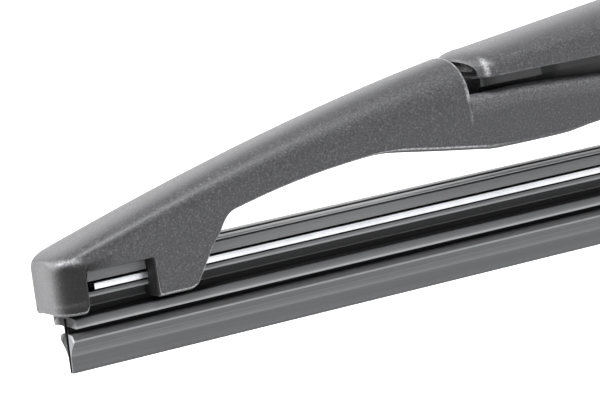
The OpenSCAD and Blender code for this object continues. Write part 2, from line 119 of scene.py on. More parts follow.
def mesh_of(name, bm):
    """Turns a finished bmesh into a mesh of that name."""
    mesh = bpy.data.meshes.new(name)
    bm.to_mesh(mesh)
    bm.free()
    return mesh


def finish_mesh(mesh, sharp_deg=32.0, recalc=True):
    """Merges doubles, points faces outwards, keeps strong edges sharp and counts the open ones."""
    bm = bmesh.new()
    bm.from_mesh(mesh)
    bmesh.ops.remove_doubles(bm, verts=bm.verts, dist=2e-7)
    bmesh.ops.dissolve_degenerate(bm, edges=bm.edges, dist=1e-7)
    if recalc:
        bmesh.ops.recalc_face_normals(bm, faces=bm.faces)
    limit = math.radians(sharp_deg)
    for face in bm.faces:
        face.smooth = True
    for edge in bm.edges:
        edge.smooth = len(edge.link_faces) == 2 and edge.calc_face_angle(0.0) < limit
    open_edges = sum(1 for e in bm.edges if len(e.link_faces) != 2)
    bm.to_mesh(mesh)
    bm.free()
    return open_edges


def finished(name, mesh, sharp_deg=32.0, recalc=True):
    """Finishes the mesh, says how it came out and makes it an object."""
    open_edges = finish_mesh(mesh, sharp_deg, recalc)
    print(name, len(mesh.polygons), "faces,", open_edges, "open edges")
    return new_object(name, mesh)


# %% [markdown]
# Two functions hold what both mouldings share. The first joins sections into a shell and stores a
# mark on each point, which the materials read later as painted highlight or painted shade. The
# second draws an arched crown: with a squareness of 2 it is part of an ellipse, and higher values
# push its shoulders out.

# %% Shells and arches
def shell_faces(verts, base, rows, count, side):
    """Four-sided faces between neighbouring sections of one half, and a cap at each end."""
    faces = []
    for i in range(rows - 1):
        for j in range(count):
            k = (j + 1) % count
            a, b = base + i * count + j, base + i * count + k
            c, d = a + count, b + count
            on_plane = j == count - 1 and all(abs(verts[v][1]) < 1e-9 for v in (a, b, c, d))
            if not on_plane:
                faces.append((a, b, d, c) if side == 1 else (a, c, d, b))
    for start, turn in ((0, 1), ((rows - 1) * count, -1)):
        loop = [base + start + j for j in range(count)]
        faces.append(tuple(loop[::turn * side]))
    return faces


def half_shell(name, sections):
    """A closed shell from half sections: rows of drawing points with y at or below 0.
    A point may have a fourth number, its edge mark."""
    verts, faces, marks = [], [], []
    count = len(sections[0])
    for side in (1, -1):
        base = len(verts)
        for row in sections:
            verts += [placed(p[0], side * p[1], p[2]) for p in row]
            marks += [p[3] if len(p) > 3 else 0.0 for p in row]
        faces += shell_faces(verts, base, len(sections), count, side)
    mesh = bpy.data.meshes.new(name)
    mesh.from_pydata(verts, [], faces)
    mesh.attributes.new("edge", "FLOAT", "POINT").data.foreach_set("value", marks)
    mesh.validate()
    return finished(name, mesh)


def arch_line(width, top, depth, square, start, count):
    """Points (y, z) on an arched crown from y = start out to y = width."""
    first = math.acos(min(1.0, (start / width) ** (square / 2))) if start > 0 else math.pi / 2
    line = []
    for i in range(count + 1):
        a = first * (1 - i / count)
        rise = depth * math.sin(a) ** (2 / square)
        line.append((width * math.cos(a) ** (2 / square), top - depth + rise))
    return line


# %% [markdown]
# ## The bridge's lower edge
# Seen from the side, the bridge has one long lower edge: under the end cap, round the claw window,
# under the inner claw, up into the open arch, along the belly and on to the same claws at the far
# end. It is drawn as a list of corners. Every corner also says which place on the crown belongs to
# it, so that the mesh lines can fan out round the window without crossing.

# %% Soft lines and round corners
def spline_point(a, b, c, d, t):
    """One coordinate of a soft line from b to c, when a comes before and d after."""
    return 0.5 * (2 * b + (c - a) * t + (2 * a - 5 * b + 4 * c - d) * t * t
                  + (3 * b - a - 3 * c + d) * t**3)


def smooth_line(points, pieces):
    """More points on a soft line through the given ones."""
    line = []
    for i in range(len(points) - 1):
        p0, p1, p2 = points[max(i - 1, 0)], points[i], points[i + 1]
        p3 = points[min(i + 2, len(points) - 1)]
        steps = pieces if math.dist(p1, p2) < 4 else 2 * pieces
        for k in range(steps):
            line.append(tuple(spline_point(*near, k / steps) for near in zip(p0, p1, p2, p3)))
    return line + [points[-1]]


def round_corner(before, here, after, radius, most, pieces):
    """Points round the corner at here; the rounding takes at most the given share of a side."""
    ends = []
    for other in (before, after):
        share = min(radius / math.dist(here[:2], other[:2]), most)
        ends.append([h + (o - h) * share for h, o in zip(here, other)])
    arc = []
    for k in range(pieces + 1):
        t = k / pieces
        arc.append(tuple((1 - t)**2 * a + 2 * t * (1 - t) * b + t * t * c
                         for a, b, c in zip(ends[0], here, ends[1])))
    return arc


def with_round_corners(nodes):
    """Rounds the corners of a line of (x, z, crown x, radius)."""
    line = [nodes[0][:3]]
    for before, here, after in zip(nodes, nodes[1:], nodes[2:]):
        if here[3] == 0:
            line.append(here[:3])
        else:
            line += round_corner(before[:3], here[:3], after[:3], here[3], 0.45, 5)
    return line + [nodes[-1][:3]]


# %% [markdown]
# The claws are the same at both ends, so one function gives their corners and turns them round for
# the far end. The arch between them is a soft line through a few places taken from the picture.

# %% Lower edge of the bridge
CLAW_Z, WINDOW_Z, CLAW_END = 8.2, 13.45, 17.4
WINDOW_START, WINDOW_END = 1.5, 11.5
CAP_R, CAP_TURN = 2.8, 0.5
ARCH_OUT = [(17.6, 8.75), (19.0, 10.9), (20.3, 13.0), (21.7, 14.6), (22.6, 16.0), (23.7, 17.05),
            (25.3, 17.55), (31.6, 18.85), (37.9, 19.8), (44.2, 20.42), (47.5, 20.5), (50.6, 20.15),
            (56.9, 19.2), (63.4, 18.3), (66.8, 17.92)]
ARCH_IN = [(77.2, 17.92), (80.7, 18.2), (84.1, 18.6), (96.0, 19.3), (112.0, 19.4), (130.0, 18.6),
           (150.0, 17.1), (166.0, 15.2), (178.1, 13.4), (180.0, 12.0), (182.4, 8.75)]


def claws(far):
    """Corners round the cap and the claws, outboard ones or those turned round for the far end."""
    cap = [CAP_TURN - CAP_R * math.cos(math.radians(8 * i)) for i in range(9)] + [-0.2]
    nodes = [(x, CLAW_Z, x, 0) for x in cap]
    nodes += [(WINDOW_START, CLAW_Z, 0.9, 1.4), (WINDOW_START, WINDOW_Z, 2.3, 0.25),
              (6.5, WINDOW_Z, 6.5, 0), (WINDOW_END, WINDOW_Z, 10.7, 0.25),
              (WINDOW_END, CLAW_Z, 12.0, 0.3), (16.9, CLAW_Z, 15.2, 0.7)]
    if far:
        nodes = [(RUBBER_LEN - x, z, RUBBER_LEN - t, r) for x, z, t, r in reversed(nodes)]
    return nodes


def crown_place(x):
    """Place on the crown that belongs to a point of the arch's edge."""
    out = x - 2.0 * (1 - fade(x, 17.0, 25.0))
    return out + 2.0 * fade(x, 175.0, 183.0)


arch_nodes = [(x, z, crown_place(x), 0) for x, z in smooth_line(ARCH_OUT + ARCH_IN, 3)]
edge_line = with_round_corners(claws(False) + arch_nodes + claws(True))
print("lower edge:", len(edge_line), "points, from", edge_line[0][0], "to", edge_line[-1][0])

# %% [markdown]
# ## The bridge's skin
# Three rules give the skin: how high the crown is, how wide the moulding is and how square its
# shoulders are. Near the cap the shoulders are square, and towards the rim they melt into one round
# arch, which is why the crease that starts at the cap's corner fades as it climbs. The two ends are
# rounded in plan, and the rim where the arm's nose begins has a small radius that fades out below
# the saddle.

# %% Rules for the bridge's skin
CAP_TOP_R, RIM_R = 0.45, 0.4


def from_end(x):
    """Distance from the nearer end of the rubber."""
    return min(x, RUBBER_LEN - x)


def cap_fall(x):
    """How far the plan's rounding has fallen at either end cap, from 0 to 1."""
    return roundness(CAP_TURN - x, 0, CAP_R) + roundness(x - (RUBBER_LEN - CAP_TURN), 0, CAP_R)


def crown_top(x, saddle):
    """Height of the crown in front of the rim, or of the saddle and the tail behind it."""
    fall = CAP_TOP_R * cap_fall(x)
    if saddle:
        swell = 0.62 * fade(x, RIM_X, 74.0) * (1 - fade(x, 76.0, 116.0))
        return curve(x, RIM_X, 26.2, -0.055, RUBBER_LEN, 15.8, -0.12) + swell - fall
    return curve(x, 0, 16.4, 0.31, RIM_X, 31.1, 0.15) - fall - RIM_R * roundness(x, RIM_X - RIM_R, RIM_R)


def side_half(x, z):
    """Half width of the bridge at a place on its side."""
    middle = min(max(x, CLAW_END), RUBBER_LEN - CLAW_END)
    if x < RIM_X:
        half = curve(middle, CLAW_END, 5.2, 0, RIM_X, 6.4, 0.02)
    else:
        half = curve(max(middle, 96.0), 96.0, 6.4, 0, RUBBER_LEN - CLAW_END, 5.2, 0)
    before, behind = RIM_R * roundness(x, RIM_X - RIM_R, RIM_R), 0.14 * (1 - fade(x, RIM_X, RIM_X + 1.2))
    rim = before if x <= RIM_X else behind
    return half - CAP_R * cap_fall(x) - rim * fade(z, 22.5, 26.0)


def crown_shape(x, saddle):
    """Depth and squareness of the arched crown."""
    if saddle:
        return 1.9, 3.0
    t = min(max(x / RIM_X, 0.0), 1.0)
    return 1.95 + 3.85 * t, 2.7 - 0.6 * t


def chamfer(x, z):
    """Width of the narrow band that runs along the lower edge."""
    if z > CLAW_Z + 0.6 and from_end(x) < CLAW_END:
        return 0.16
    if x < CLAW_END:
        return 0.38
    belly = 0.16 + 0.46 * fade(x, 44, 53) - 0.3 * fade(x, 72, 90)
    return belly + 0.2 * fade(x, RUBBER_LEN - CLAW_END - 1, RUBBER_LEN - CLAW_END + 1)


print("crown at the rim:", round(crown_top(RIM_X, False), 2), "mm, saddle:", round(crown_top(RIM_X, True), 2))

# %% [markdown]
# ## Painted highlights and shade on the bridge
# Pale lines are painted along the edges as highlights, and the side of the end cap is painted darker
# as shade. Both are stored on the mesh as one number per point: above 0 is painted highlight, below 0
# is painted shade. A painted texture could carry them too, but the marks follow the edges exactly this way.

# %% Marks on the bridge
def edge_shine(x, z):
    """How bright the painted highlight along the lower edge is: most under claws and hump, least on the belly
    behind it.
    """
    end = from_end(x)
    if z > CLAW_Z + 0.6 and end < CLAW_END - 1:
        return 0.12
    if end < 0.2:
        return 0.2
    return 0.6 if end < 1.6 else 1 - 0.92 * fade(end, 61, 70)


def rim_mark(x, z):
    """Painted highlight line on the rim, with a painted highlight spot where the saddle's wall meets it."""
    height = 0.25 * fade(z, 21.5, 23.0) + 0.75 * fade(z, 24.9, 25.7)
    line = fade(x, RIM_X - 0.5, RIM_X - 0.3) * height
    spot = fade(x, RIM_X - 0.8, RIM_X - 0.45) * fade(z, 24.9, 25.6) * fade(28.8 - z, 0, 2.4)
    return max(line, spot)


def saddle_mark(x, z, spring, top):
    """Painted highlight along the top of the saddle's wall, strongest at its crown and fading towards the
    rear.
    """
    # The top of the wall is painted lighter as a highlight.
    painted_edge_light = 0.12 * fade(z, spring - 1.5, spring) + 0.28 * fade(z, spring, top)
    return painted_edge_light * (1 - fade(x, 94.0, 110.0))


def cap_mark(x, y, z):
    """Painted highlight along the end cap's upper edge, a faint painted highlight on the parting line above
    the lower one, and painted shade over the cap's side.
    """
    end = 1.8 - from_end(x)
    crest = 15.15 if x < RIM_X else 14.5
    # roll and parting are painted highlights; film is painted shade over the cap's side, below its upper
    # edge.
    roll = 0.85 * fade(end, 0, 1.6) * fade(y, 3.0, 4.0) * max(0.0, 1 - abs(z - crest) / 0.4)
    parting = 0.4 * fade(end, 0.6, 0.9) * max(0.0, 1 - abs(z - 9.55) / 0.36)
    film = 0.85 * fade(y, 1.6, 4.6) * fade(end, -3.2, 0.3) * fade(14.9 - z, 0, 0.6)
    return roll or parting - film


# Prints the painted highlight on the lower edge under a claw and on the belly.
print("wear under a claw:", edge_shine(14.0, CLAW_Z), "and on the belly:", round(edge_shine(90.0, 18.0), 2))

# %% [markdown]
# ## One section of the bridge
# Inside, the bridge changes its form along the blade: a channel with lips in the claws, a hollow
# under the hump and the tail, an open pocket in the saddle, and a closed underside between them.
# Each kind has an inner line with the same number of points, so that every section can be joined to
# the next.

# %% Sections of the bridge
POCKET_HW, HOLLOW_HW, CHANNEL_HW, LIP_HW = 4.8, 3.6, 3.05, 1.5
LIP_TOP, CHANNEL_TOP = 9.65, 13.95
EVENLY = (0, 0.2, 0.4, 0.6, 0.8, 1)


def wall_and_roof(width, low, roof, shares, across):
    """Points up an inner wall at the given shares of its height, and then across the roof."""
    return [(width, low + (roof - low) * t) for t in shares] + [(y, roof) for y in across]


def inner_line(kind, x, low):
    """Inner half outline (y, z) from the lower edge to the middle of the roof's underside."""
    if kind == "saddle":
        rise = crown_top(x, True) - 0.3 - low
        return [(POCKET_HW, low + rise * i / 8) for i in range(9)]
    if kind == "claw" and low < LIP_TOP - 0.05:
        channel = [(CHANNEL_HW, z) for z in (LIP_TOP, 11.5, 13.0, CHANNEL_TOP)]
        return [(LIP_HW, low), (LIP_HW, LIP_TOP)] + channel + [(y, CHANNEL_TOP) for y in (2.0, 1.0, 0)]
    if kind == "claw" and low < CHANNEL_TOP - 0.15:
        return wall_and_roof(CHANNEL_HW, low, CHANNEL_TOP, (0, 0.05, 0.1, 0.4, 0.7, 1), (2.0, 1.0, 0))
    if kind == "hollow":
        roof = crown_top(x, x > RIM_X) - (2.6 if x < RIM_X else 1.9)
        return wall_and_roof(HOLLOW_HW, low, roof, EVENLY, (2.4, 1.2, 0))
    width = min(CHANNEL_HW, side_half(x, low) - 0.6)
    return wall_and_roof(width, low, low + 0.12, EVENLY, [width * t for t in (0.66, 0.33, 0)])


def lower_band(x, low, normal, band, half):
    """The narrow band along the lower edge: a fine ridge outside, then round to the inside."""
    ridge = 0.06 * fade(band, 0.3, 0.5) + 0.015
    # The third number of each row is its share of the painted highlight along the lower edge.
    profile = ((0.86, -ridge, 1), (0.66, -ridge, 1), (0.45, 0.12 * band, 0), (0.2, 0.38 * band, 0),
               (0.0, 0.75 * band, 0.3))
    shine = edge_shine(x, low)
    return [(x + normal[0] * band * up, -(half - inward), low + normal[1] * band * up, mark * shine)
            for up, inward, mark in profile]


def bridge_section(point, normal, kind):
    """One half section: crown, side, lower edge, inner wall."""
    x, low, crown_x = point
    saddle = crown_x > RIM_X or kind == "saddle"
    top = crown_top(crown_x, saddle)
    depth, square = crown_shape(crown_x, saddle)
    spring = top - depth

    # Each point gets its painted highlight, or below 0 its painted shade, for the plastic's material.
    def mark(px, py, pz):
        if kind == "saddle":
            return saddle_mark(px, pz, spring, top)
        return (0.0 if saddle else rim_mark(px, pz)) or cap_mark(px, py, pz)

    start = POCKET_HW + 0.25 if kind == "saddle" else 0.0
    crown = arch_line(side_half(crown_x, spring), top, depth, square, start, 22)
    row = [(crown_x, -y, z, mark(crown_x, y, z)) for y, z in crown]
    band = chamfer(x, low)
    foot_x, foot_z = x + normal[0] * band, low + normal[1] * band
    for i in range(1, 17):
        px, pz = crown_x + (foot_x - crown_x) * i / 16, spring + (foot_z - spring) * i / 16
        half = side_half(px, pz)
        row.append((px, -half, pz, mark(px, half, pz)))
    row += lower_band(x, low, normal, band, side_half(foot_x, foot_z))
    inner = inner_line(kind, x, low)
    return row + [(x + (crown_x - x) * i / 8, -y, z) for i, (y, z) in enumerate(inner)]


# %% [markdown]
# Where the inside changes its kind, two sections stand at the same place, and the faces between them
# make the step. The rim gets some close sections of its own, so that its small radius stays round.

# %% Join the sections into the bridge
STEPS = [(-9.0, "solid"), (-0.2, "claw"), (24.4, "hollow"), (60.7, "solid"), (RIM_X, "saddle"),
         (SADDLE_END, "solid"), (115.9, "hollow"), (176.6, "claw"), (RUBBER_LEN + 0.2, "solid")]
NEAR_RIM = (-0.8, -0.6, 0.15, 0.35, 0.6, 0.9, 1.3)


def edge_normals(line):
    """Direction into the material at each point of the lower edge."""
    normals = []
    for i in range(len(line)):
        a, b = line[max(i - 1, 0)], line[min(i + 1, len(line) - 1)]
        dx, dz = b[0] - a[0], b[1] - a[1]
        size = math.hypot(dx, dz) or 1.0
        normals.append((-dz / size, dx / size))
    return normals


def with_steps(line, places):
    """Adds a point to the line wherever it passes one of the places."""
    out = [line[0]]
    for a, b in zip(line, line[1:]):
        for place in sorted(places):
            if a[0] < place - 1e-6 < b[0] - 2e-6:
                t = (place - a[0]) / (b[0] - a[0])
                out.append(tuple(p + (q - p) * t for p, q in zip(a, b)))
        out.append(b)
    return out


def kinds_at(x):
    """The kind of section at a place, or both kinds where one gives way to the next."""
    kinds = [k for place, k in STEPS if place <= x + 1e-6]
    at_step = any(abs(place - x) < 1e-6 for place, k in STEPS)
    return kinds[-2:] if at_step else kinds[-1:]


rim_places = [RIM_X - RIM_R + RIM_R * math.sin(math.radians(a)) for a in (0, 25, 45, 62, 76, 90)]
rim_places += [RIM_X + d for d in NEAR_RIM]
edge_line = [p if not 55 < p[0] < 70 else (p[0], p[1], p[0]) for p in edge_line]
edge_line = with_steps(edge_line, [s[0] for s in STEPS] + rim_places)
bridge_sections = []
for point, normal in zip(edge_line, edge_normals(edge_line)):
    bridge_sections += [bridge_section(point, normal, kind) for kind in kinds_at(point[0])]
bridge = half_shell("moulded_bridge", bridge_sections)

# %% [markdown]
# ## The arm
# The arm is one long moulded shell, open below. It widens from the nose to the hinge, its crown
# rises to a peak two thirds of the way along, and its lower edge drops at the hinge to make room for
# the spring. Plain sections along its length are enough for all of that.

# %% Rules for the arm's skin
NOSE_X, NOSE_R, BROW_FALL, ARM_END = 64.1, 4.0, 1.5, 274.0
ARM_WALL, CAVITY_HW, CAVITY_Z, CAVITY_END = 2.2, 4.7, 29.8, 96.0
BROW_X, PEAK_X, PEAK_Z = 67.5, 190.0, 43.3
LOW_Z, LEVEL_END, SAG_X, SAG_Z = 27.9, 92.0, 205.0, 32.8


def arm_top(x):
    """Height of the arm's crown."""
    if x < PEAK_X:
        brow = 0.1 * max(0.0, BROW_X - x)
        return curve(max(x, BROW_X), BROW_X, 31.6, 0.12, PEAK_X, PEAK_Z, 0.04) - brow
    return curve(x, PEAK_X, PEAK_Z, 0.04, ARM_END, 40.5, -0.12)


def arm_low(x):
    """Height of the arm's lower edge."""
    if x < LEVEL_END:
        return LOW_Z
    if x < SAG_X:
        return curve(x, LEVEL_END, LOW_Z, 0.02, SAG_X, SAG_Z, 0)
    return curve(x, SAG_X, SAG_Z, 0, ARM_END, 17.0, -0.04)


def arm_half(x):
    """Half width of the arm."""
    return 6.9 + 3.6 * (x - NOSE_X) / (HINGE_X - NOSE_X)


def arm_depth(x):
    """Depth of the arm's arched crown."""
    return curve(x, NOSE_X, 3.0, 0.03, ARM_END, 6.0, 0)


def arm_inner(kind, x, low):
    """Inner half outline of the arm from its lower edge to the middle."""
    if kind == "solid":
        return [(CAVITY_HW * (1 - i / 8), low) for i in range(9)]
    if kind == "cavity":
        return wall_and_roof(CAVITY_HW, low, CAVITY_Z, (0, 0.25, 0.5, 0.75, 1), (3.6, 2.4, 1.2, 0))
    width, top, depth = arm_half(x) - ARM_WALL, arm_top(x) - ARM_WALL, arm_depth(x) - ARM_WALL / 2
    roof = arch_line(width, top, depth, 3.0, 0.0, 6)[::-1]
    return [(width, low), (width, (low + top - depth) / 2)] + roof


def arm_section(x, kind):
    """One half section of the arm."""
    low, top, depth, half = arm_low(x), arm_top(x), arm_depth(x), arm_half(x)
    row = [(x, -y, z) for y, z in arch_line(half, top, depth, 2.2, 0.0, 22)]
    band = 0.22
    # The arm's lower edge gets a painted highlight, strongest at the nose.
    painted_edge_light = 0.7 - 0.6 * fade(x, 66.5, 71.0)
    foot, spring = low + band, top - depth
    row += [(x, -half, spring + (foot - spring) * i / 16) for i in range(1, 17)]
    profile = ((0.85, 0.01, 1), (0.6, 0.2, 1), (0.35, 0.45, 0.43), (0.12, 0.75, 0), (0.0, 1.0, 0))
    row += [(x, -half + inward * band, low + up * band, mark * painted_edge_light) for up, inward, mark in profile]
    return row + [(x, -y, z) for y, z in arm_inner(kind, x, low)]


print("arm rises to", PEAK_Z, "mm and is", round(2 * arm_half(HINGE_X), 1), "mm wide at the hinge")

# %% [markdown]
# ## The nose
# The nose is blunt and rounded, and its front has an arched recess, so that the front seen past the
# rim is a lit rim of plastic round a dark hollow. Sections across the arm would meet the rounded
# front edge on. They are nested instead: each one is a smaller outline in the front view, and a rule
# says how far back the rounded front lies there.

# %% The nose's rounded front
RECESS_HW, RECESS_TOP, RECESS_LOW, RECESS_MID = 5.5, 30.3, 28.15, 29.0
RECESS_RINGS = ((2.75, 0.45), (2.65, 0.7), (2.3, 0.86), (1.6, 0.925), (1.1, 0.945), (0.6, 0.958),
                (0.3, 0.972), (0.12, 0.986))


def front_depth(y, z):
    """Where the rounded front of the nose lies in the front view, as x."""
    back = NOSE_X + NOSE_R
    near, far = 0.0, 1.0
    for _ in range(30):
        u = (near + far) / 2
        fall = 1 - math.sqrt(1 - u * u)
        half = arm_half(back) - NOSE_R * fall
        top = arm_top(back) - BROW_FALL * fall
        depth = arm_depth(back) - 0.5 * BROW_FALL * fall
        over = max(0.0, (z - top + depth) / depth)
        inside = (abs(y) / half) ** 2.2 + over**2.2 < 1
        near, far = (u, far) if inside else (near, u)
    return back - NOSE_R * near


def corner_mark(y, z):
    """Painted highlight on the rounded corner between the nose's front and its side."""
    on_corner = max(0.0, 1 - abs(front_depth(y, z) - 66.1) / 0.5)
    return on_corner * fade(abs(y), 4.2, 5.8) * fade(z, 27.8, 28.4)


def recess_mouth():
    """Edge of the recess in the front view: arch, side, small corner and straight lower edge."""
    line = arch_line(RECESS_HW, RECESS_TOP, 2.0, 2.45, 0.0, 22)
    line += [(RECESS_HW, 28.3 - 0.07 * i / 16) for i in range(1, 17)]
    line += [(RECESS_HW - 0.02 * i, 28.23 - 0.016 * i) for i in range(1, 6)]
    return line + [(RECESS_HW * (1 - 0.02 - 0.98 * i / 8), RECESS_LOW) for i in range(9)]


mouth = recess_mouth()
full = [(-p[1], p[2]) for p in arm_section(NOSE_X + NOSE_R, "solid")]
nose_sections = []
for back, share in RECESS_RINGS:
    nose_sections.append([(front_depth(y, z) + back, -share * y, RECESS_MID + share * (z - RECESS_MID))
                          for y, z in mouth])
for i in range(15):
    q = math.sin(math.radians(6 * i))
    ring = [(ym + (yf - ym) * q, zm + (zf - zm) * q) for (ym, zm), (yf, zf) in zip(mouth, full)]
    nose_sections.append([(front_depth(y, z), -y, z, corner_mark(y, z)) for y, z in ring])
print("nose:", len(nose_sections), "nested sections")

# %% [markdown]
# Behind the nose come a cavity for the clip, a short solid part and the long hollow that holds the
# spring. All sections have the same number of points, so one call joins nose and arm.

# %% Join the sections into the arm
CAVITY_START, HOLLOW_START = 68.6, 98.0


def spaced(start, end, count):
    """Evenly spaced places from start to end."""
    return [start + (end - start) * i / count for i in range(count + 1)]


arm_sections = nose_sections + [arm_section(NOSE_X + NOSE_R, kind) for kind in ("solid", "cavity")]
arm_sections += [arm_section(x, "cavity") for x in spaced(CAVITY_START, CAVITY_END, 16)]
arm_sections += [arm_section(CAVITY_END, "solid"), arm_section(HOLLOW_START, "solid")]
arm_sections += [arm_section(x, "hollow") for x in spaced(HOLLOW_START, ARM_END, 72)]
arm = half_shell("moulded_arm", arm_sections)

# %% [markdown]
# ## Drilled holes
# The hinge pin and the spring's anchor pin sit in holes through the arm's sides. The sides are plain
# flat walls there, so here a Boolean cut is the right tool.

# %% Cut the pin holes
def round_bar(name, x, z, radius, half, sides=48):
    """A plain bar across the blade, used as a cutter."""
    r = radius / 1000
    bm = bmesh.new()
    bmesh.ops.create_cone(bm, cap_ends=True, segments=sides, radius1=r, radius2=r, depth=2 * half / 1000)
    bmesh.ops.rotate(bm, verts=bm.verts, cent=(0, 0, 0), matrix=Matrix.Rotation(math.pi / 2, 3, "X"))
    bmesh.ops.translate(bm, verts=bm.verts, vec=placed(x, 0, z))
    return new_object(name, mesh_of(name, bm))


def baked(obj):
    """Turns the object's evaluated form into its plain mesh and clears its modifiers."""
    graph = bpy.context.evaluated_depsgraph_get()
    mesh = bpy.data.meshes.new_from_object(obj.evaluated_get(graph), depsgraph=graph)
    obj.modifiers.clear()
    if obj.type == "MESH":
        obj.data = mesh
        return obj
    name = obj.name
    plain = new_object(name + "_mesh", mesh)
    bpy.data.objects.remove(obj)
    plain.name = name
    return plain


def cut(obj, cutters):
    """Takes the cutters out of the object."""
    for cutter in cutters:
        mod = obj.modifiers.new("cut", "BOOLEAN")
        mod.object, mod.operation, mod.solver = cutter, "DIFFERENCE", "EXACT"
    baked(obj)
    for cutter in cutters:
        bpy.data.objects.remove(cutter)
    return finish_mesh(obj.data, recalc=False)


drills = [round_bar("hinge_drill", HINGE_X, HINGE_Z, 2.27, 20),
          round_bar("anchor_drill", ANCHOR_X, ANCHOR_Z, 1.52, 8.3)]
left_open = cut(arm, drills)
print("arm after drilling:", len(arm.data.polygons), "faces,", left_open, "open edges")

# %% [markdown]
# ## Rubber and steel strips
# The refill is extruded and the two strips are rolled, so each is one outline carried along a straight
# line. A Geometry Nodes group does exactly that. It could be a plain mesh with copied rows too, but
# the group keeps the outline and the length apart, and the strips reuse it. The group ends by making
# its result real and giving it its material.

# %% Helpers for node groups
def new_group(name):
    """An empty Geometry Nodes group with its input and output; returns all three."""
    group = bpy.data.node_groups.new(name, "GeometryNodeTree")
    group.interface.new_socket(name="Geometry", in_out="INPUT", socket_type="NodeSocketGeometry")
    group.interface.new_socket(name="Geometry", in_out="OUTPUT", socket_type="NodeSocketGeometry")
    return group, group.nodes.new("NodeGroupInput"), group.nodes.new("NodeGroupOutput")


def group_input(group, name, kind):
    """Adds a named input to a node group and returns its identifier."""
    return group.interface.new_socket(name=name, in_out="INPUT", socket_type=kind).identifier


def join(group, *pairs):
    """Links each output to its input."""
    for source, target in pairs:
        group.links.new(source, target)


def end_group(group, geometry, material, out):
    """Ends a tree in Realize Instances and Set Material."""
    real = group.nodes.new("GeometryNodeRealizeInstances")
    dressed = group.nodes.new("GeometryNodeSetMaterial")
    join(group, (geometry, real.inputs["Geometry"]), (real.outputs["Geometry"], dressed.inputs["Geometry"]),
         (material, dressed.inputs["Material"]), (dressed.outputs["Geometry"], out.inputs["Geometry"]))


def run_group(obj, group, values):
    """Runs the group on the object and keeps the result as a plain mesh."""
    mod = obj.modifiers.new(group.name, "NODES")
    mod.node_group = group
    for identifier, value in values.items():
        mod[identifier] = value
    return baked(obj)


def named_material(name):
    """The material of that name, made when it is first asked for."""
    return bpy.data.materials.get(name) or bpy.data.materials.new(name)


def path_object(name, points, closed):
    """A curve object with straight pieces between points that are given in the part's frame."""
    data = bpy.data.curves.new(name, "CURVE")
    data.dimensions = "3D"
    spline = data.splines.new("POLY")
    spline.points.add(len(points) - 1)
    for p, at in zip(spline.points, points):
        p.co = (*at, 1)
    spline.use_cyclic_u = closed
    return new_object(name, data)


# %% [markdown]
# The extrusion group draws its own straight rail from two named inputs and sweeps the object's
# outline along it. The rail's normal is set to Z up, because a sweep otherwise turns the outline in a
# way that is hard to foresee. The sweep's own axes point the other way in y and z, and so the
# outline is drawn turned half round.

# %% A node group that carries an outline along the blade
extrusion, ext_in, ext_out = new_group("extrusion")
START_ID = group_input(extrusion, "Start", "NodeSocketVector")
END_ID = group_input(extrusion, "End", "NodeSocketVector")
SKIN_ID = group_input(extrusion, "Material", "NodeSocketMaterial")
rail = extrusion.nodes.new("GeometryNodeCurvePrimitiveLine")
upright = extrusion.nodes.new("GeometryNodeSetCurveNormal")
upright.mode = "Z_UP"
sweep = extrusion.nodes.new("GeometryNodeCurveToMesh")
sweep.inputs["Fill Caps"].default_value = True
join(extrusion, (ext_in.outputs["Start"], rail.inputs["Start"]), (ext_in.outputs["End"], rail.inputs["End"]),
     (rail.outputs["Curve"], upright.inputs["Curve"]), (upright.outputs["Curve"], sweep.inputs["Curve"]),
     (ext_in.outputs["Geometry"], sweep.inputs["Profile Curve"]))
end_group(extrusion, sweep.outputs["Mesh"], ext_in.outputs["Material"], ext_out)


def rounded(points, radius, pieces):
    """Rounds each corner of a closed outline."""
    line = []
    for i, here in enumerate(points):
        line += round_corner(points[i - 1], here, points[(i + 1) % len(points)], radius, 0.4, pieces)
    return line


def extruded(name, points, start, end, material):
    """Carries the outline (y, z) from one place along the blade to another."""
    outline = [(-p[0] / 1000, (FOOT_Z - p[1]) / 1000, 0) for p in points]
    values = {START_ID: (placed(start, 0, 0)[0], 0, 0), END_ID: (placed(end, 0, 0)[0], 0, 0),
              SKIN_ID: named_material(material)}
    obj = run_group(path_object(name, outline, True), extrusion, values)
    open_edges = finish_mesh(obj.data)
    print(name, len(obj.data.polygons), "faces,", open_edges, "open edges")
    return obj


# %% [markdown]
# The refill's outline goes up one side: lip, shoulder, hinge neck, flange, claw groove, head with the
# strip's slot, and the beads on top. Its third number is a painted highlight tone: high on ribs and
# corners that catch the light, low on faces in shade, and the material makes the rubber paler by it.
# The strips lie in the head's slots.

